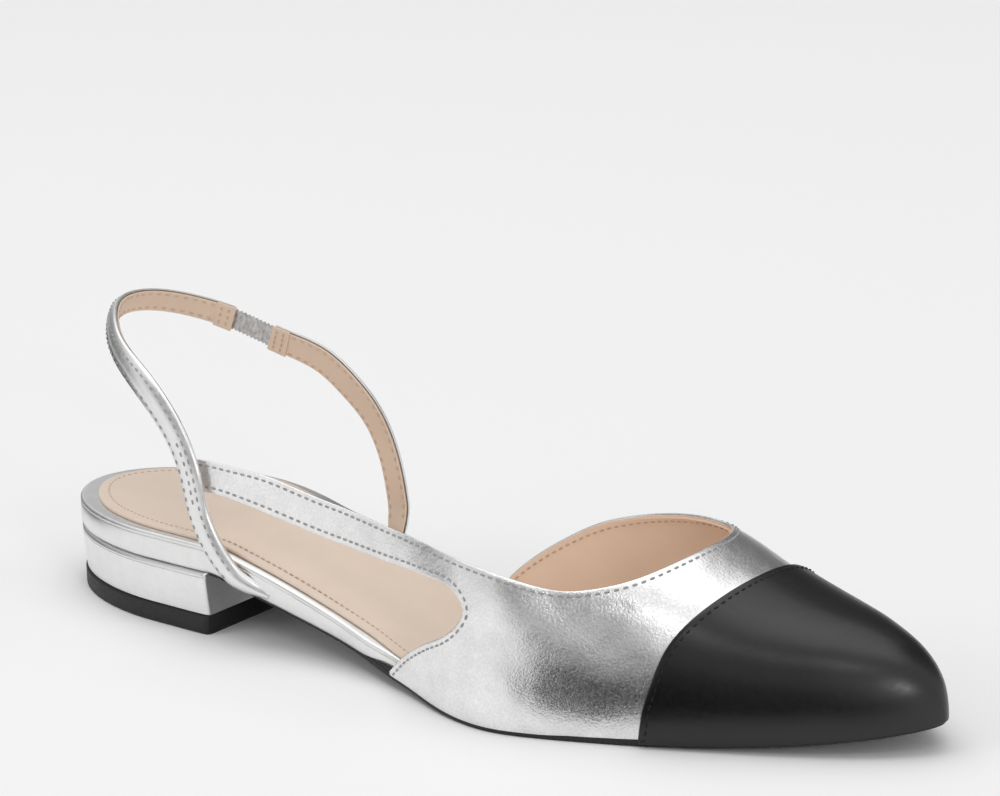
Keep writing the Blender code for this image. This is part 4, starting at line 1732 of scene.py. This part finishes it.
@dataclass(frozen=True)
class Lamp:
    """A rectangular soft light: its place, the point that it faces, its size in metres and its power."""

    name: str
    place: tuple[float, float, float]
    aim: tuple[float, float, float]
    size: tuple[float, float]
    watts: float
    mirrored: bool = True

    def add(self) -> None:
        """Puts the light into the scene."""
        data = bpy.data.lights.new(self.name, "AREA")
        data.shape = "RECTANGLE"
        data.size, data.size_y = self.size
        data.energy = self.watts
        light = bpy.data.objects.new(self.name, data)
        light.visible_glossy = self.mirrored
        back = unit(np.array(self.place) - np.array(self.aim))
        right = unit(np.cross((0.0, 0.0, 1.0), back))
        light.matrix_world = placed(right, np.cross(back, right), back, self.place)
        bpy.context.scene.collection.objects.link(light)


def placed(right: Array, up: Array, back: Array, place: Sequence[float]) -> Matrix:
    """Matrix of an object that is turned to three axes and stands at a place.

    Args:
        right: direction of its X.
        up: direction of its Y.
        back: direction of its Z.
        place: where it stands, in metres.

    Returns:
        The matrix.
    """
    matrix = np.eye(4)
    matrix[:3, :3] = np.stack([right, up, back], axis=1)
    matrix[:3, 3] = place
    return Matrix(matrix.tolist())


@dataclass
class Studio:
    """Pale floor, soft light and the camera.

    The cards' corners are in the shoe's frame. Sky holds the brightness at the horizon and overhead, and the
    height at which it stops growing.
    """

    wardrobe: Wardrobe
    floor_side: float = 12.0
    camera_place: tuple[float, float, float] = (0.55934, -0.71028, 0.33346)
    azimuth: float = 37.70
    elevation: float = 16.29
    roll: float = -1.46
    lens: float = 135.02
    sensor: float = 36.0
    card_height: float = 1.0
    cards: tuple[Rows, ...] = (
        (
            (340, -43),
            (196, -45),
            (182, -56),
            (174, -76),
            (172, -130),
            (190, -330),
            (220, -700),
            (700, -700),
            (440, -80),
        ),
        ((-75, -60), (-75, 250), (-600, 420), (-600, -210)),
    )
    sky: tuple[float, float, float] = (0.76, 0.78, 0.7)
    lobe_core: float = 0.3
    lobes: tuple[Lobe, ...] = (
        Lobe(100.0, 30.0, 50.0, 0.15),
        Lobe(-175.0, 5.0, 45.0, 0.15),
        Lobe(-125.0, 0.0, 30.0, 1.3),
        Lobe(-74.0, 0.0, 26.0, 0.1),
        Lobe(-90.0, 44.0, 30.0, 0.3),
    )
    lamps: tuple[Lamp, ...] = (
        Lamp("overhead", (-0.3, 0.4, 2.2), (0.0, 0.0, 0.0), (2.6, 2.6), 19.8),
        Lamp("front", (0.68, -0.96, 1.33), (0.08, 0.0, 0.03), (0.4, 0.16), 1.15),
        Lamp("toe", (1.31, -0.73, 0.55), (0.12, 0.0, 0.03), (0.25, 0.25), 2.6),
        Lamp("left", (-1.08, -1.08, 0.7), (0.0, 0.0, 0.05), (1.2, 0.6), 3.2, mirrored=False),
    )

    def sheet(self, name: str, points: Array, finish: Leather) -> bpy.types.Object:
        """A flat sheet of one face.

        Args:
            name: its name.
            points: its corners in metres.
            finish: its look.

        Returns:
            The object.
        """
        mesh = bpy.data.meshes.new(name)
        mesh.from_pydata(points.tolist(), [], [list(range(len(points)))])
        mesh.materials.append(self.wardrobe.material(finish))
        sheet = bpy.data.objects.new(name, mesh)
        bpy.context.scene.collection.objects.link(sheet)
        return sheet

    def build_floor(self) -> None:
        """A wide flat sheet at the floor."""
        corners = np.array([(-1, -1, 0), (1, -1, 0), (1, 1, 0), (-1, 1, 0)])
        floor = self.sheet("floor", corners * self.floor_side / 2, FLOOR)

    def build_cards(self) -> None:
        """Dark cards beside the shoe, outside the picture, which only shiny surfaces mirror."""
        for number, corners in enumerate(self.cards, 1):
            points = np.array([(x, y, self.card_height) for x, y in corners])
            card = self.sheet(f"card_{number}", (points + SHOE_ORIGIN) * MM, CARD)
            card.visible_camera = False
            card.visible_diffuse = False
            card.visible_shadow = False

    def build_camera(self) -> None:
        """The camera: turned by azimuth, elevation and roll, as in the photograph."""
        azimuth, elevation, roll = np.radians([self.azimuth, self.elevation, self.roll])
        flat = np.cos(elevation)
        back = np.array([np.sin(azimuth) * flat, -np.cos(azimuth) * flat, np.sin(elevation)])
        right = np.array([np.cos(azimuth), np.sin(azimuth), 0.0])
        up = np.cross(back, right)
        turned_right = right * np.cos(roll) + up * np.sin(roll)
        turned_up = up * np.cos(roll) - right * np.sin(roll)
        data = bpy.data.cameras.new("camera")
        data.lens = self.lens
        data.sensor_width = self.sensor
        data.sensor_fit = "HORIZONTAL"
        camera = bpy.data.objects.new("camera", data)
        camera.matrix_world = placed(turned_right, turned_up, back, self.camera_place)
        bpy.context.scene.collection.objects.link(camera)
        bpy.context.scene.camera = camera

    def build_world(self) -> None:
        """Surroundings that grow lighter upwards, darker or brighter at each lobe."""
        world = bpy.data.worlds.new("studio")
        world.use_nodes = True
        draft = NodeDraft(world.node_tree)
        background = world.node_tree.nodes["Background"]
        place = draft.node("ShaderNodeTexCoord").outputs["Generated"]
        split = draft.node("ShaderNodeSeparateXYZ")
        draft.join(place, split.inputs[0])
        level = draft.between(split.outputs["Z"], *self.sky[:2], (0.0, self.sky[2]), "SMOOTHSTEP")
        for lobe in self.lobes:
            facing = draft.node("ShaderNodeVectorMath", {1: lobe.direction()}, operation="DOT_PRODUCT")
            draft.join(place, facing.inputs[0])
            span = np.cos(np.radians([lobe.reach, lobe.reach * self.lobe_core])).tolist()
            inside = draft.between(facing.outputs["Value"], 1.0, lobe.shade, span, "SMOOTHSTEP")
            level = draft.combined("MULTIPLY", level, inside)
        draft.join(level, background.inputs["Strength"])
        background.inputs["Color"].default_value = (1.0, 1.0, 1.0, 1.0)
        bpy.context.scene.world = world

    def build(self) -> None:
        """Everything round the shoe."""
        self.build_floor()
        self.build_camera()
        self.build_cards()
        self.build_world()
        for lamp in self.lamps:
            lamp.add()
        bpy.context.scene.view_settings.view_transform = "Standard"


def main() -> None:
    """Builds the shoe from the sole up, then the studio."""
    logging.basicConfig(level=logging.INFO, format="%(message)s")
    wardrobe = Wardrobe()
    last, piece = Last(), Piece(wardrobe)
    Sole(last, piece).build()
    Vamp(last, piece).build()
    Sling(last, piece).build()
    Studio(wardrobe).build()


if __name__ == "__main__":
    main()
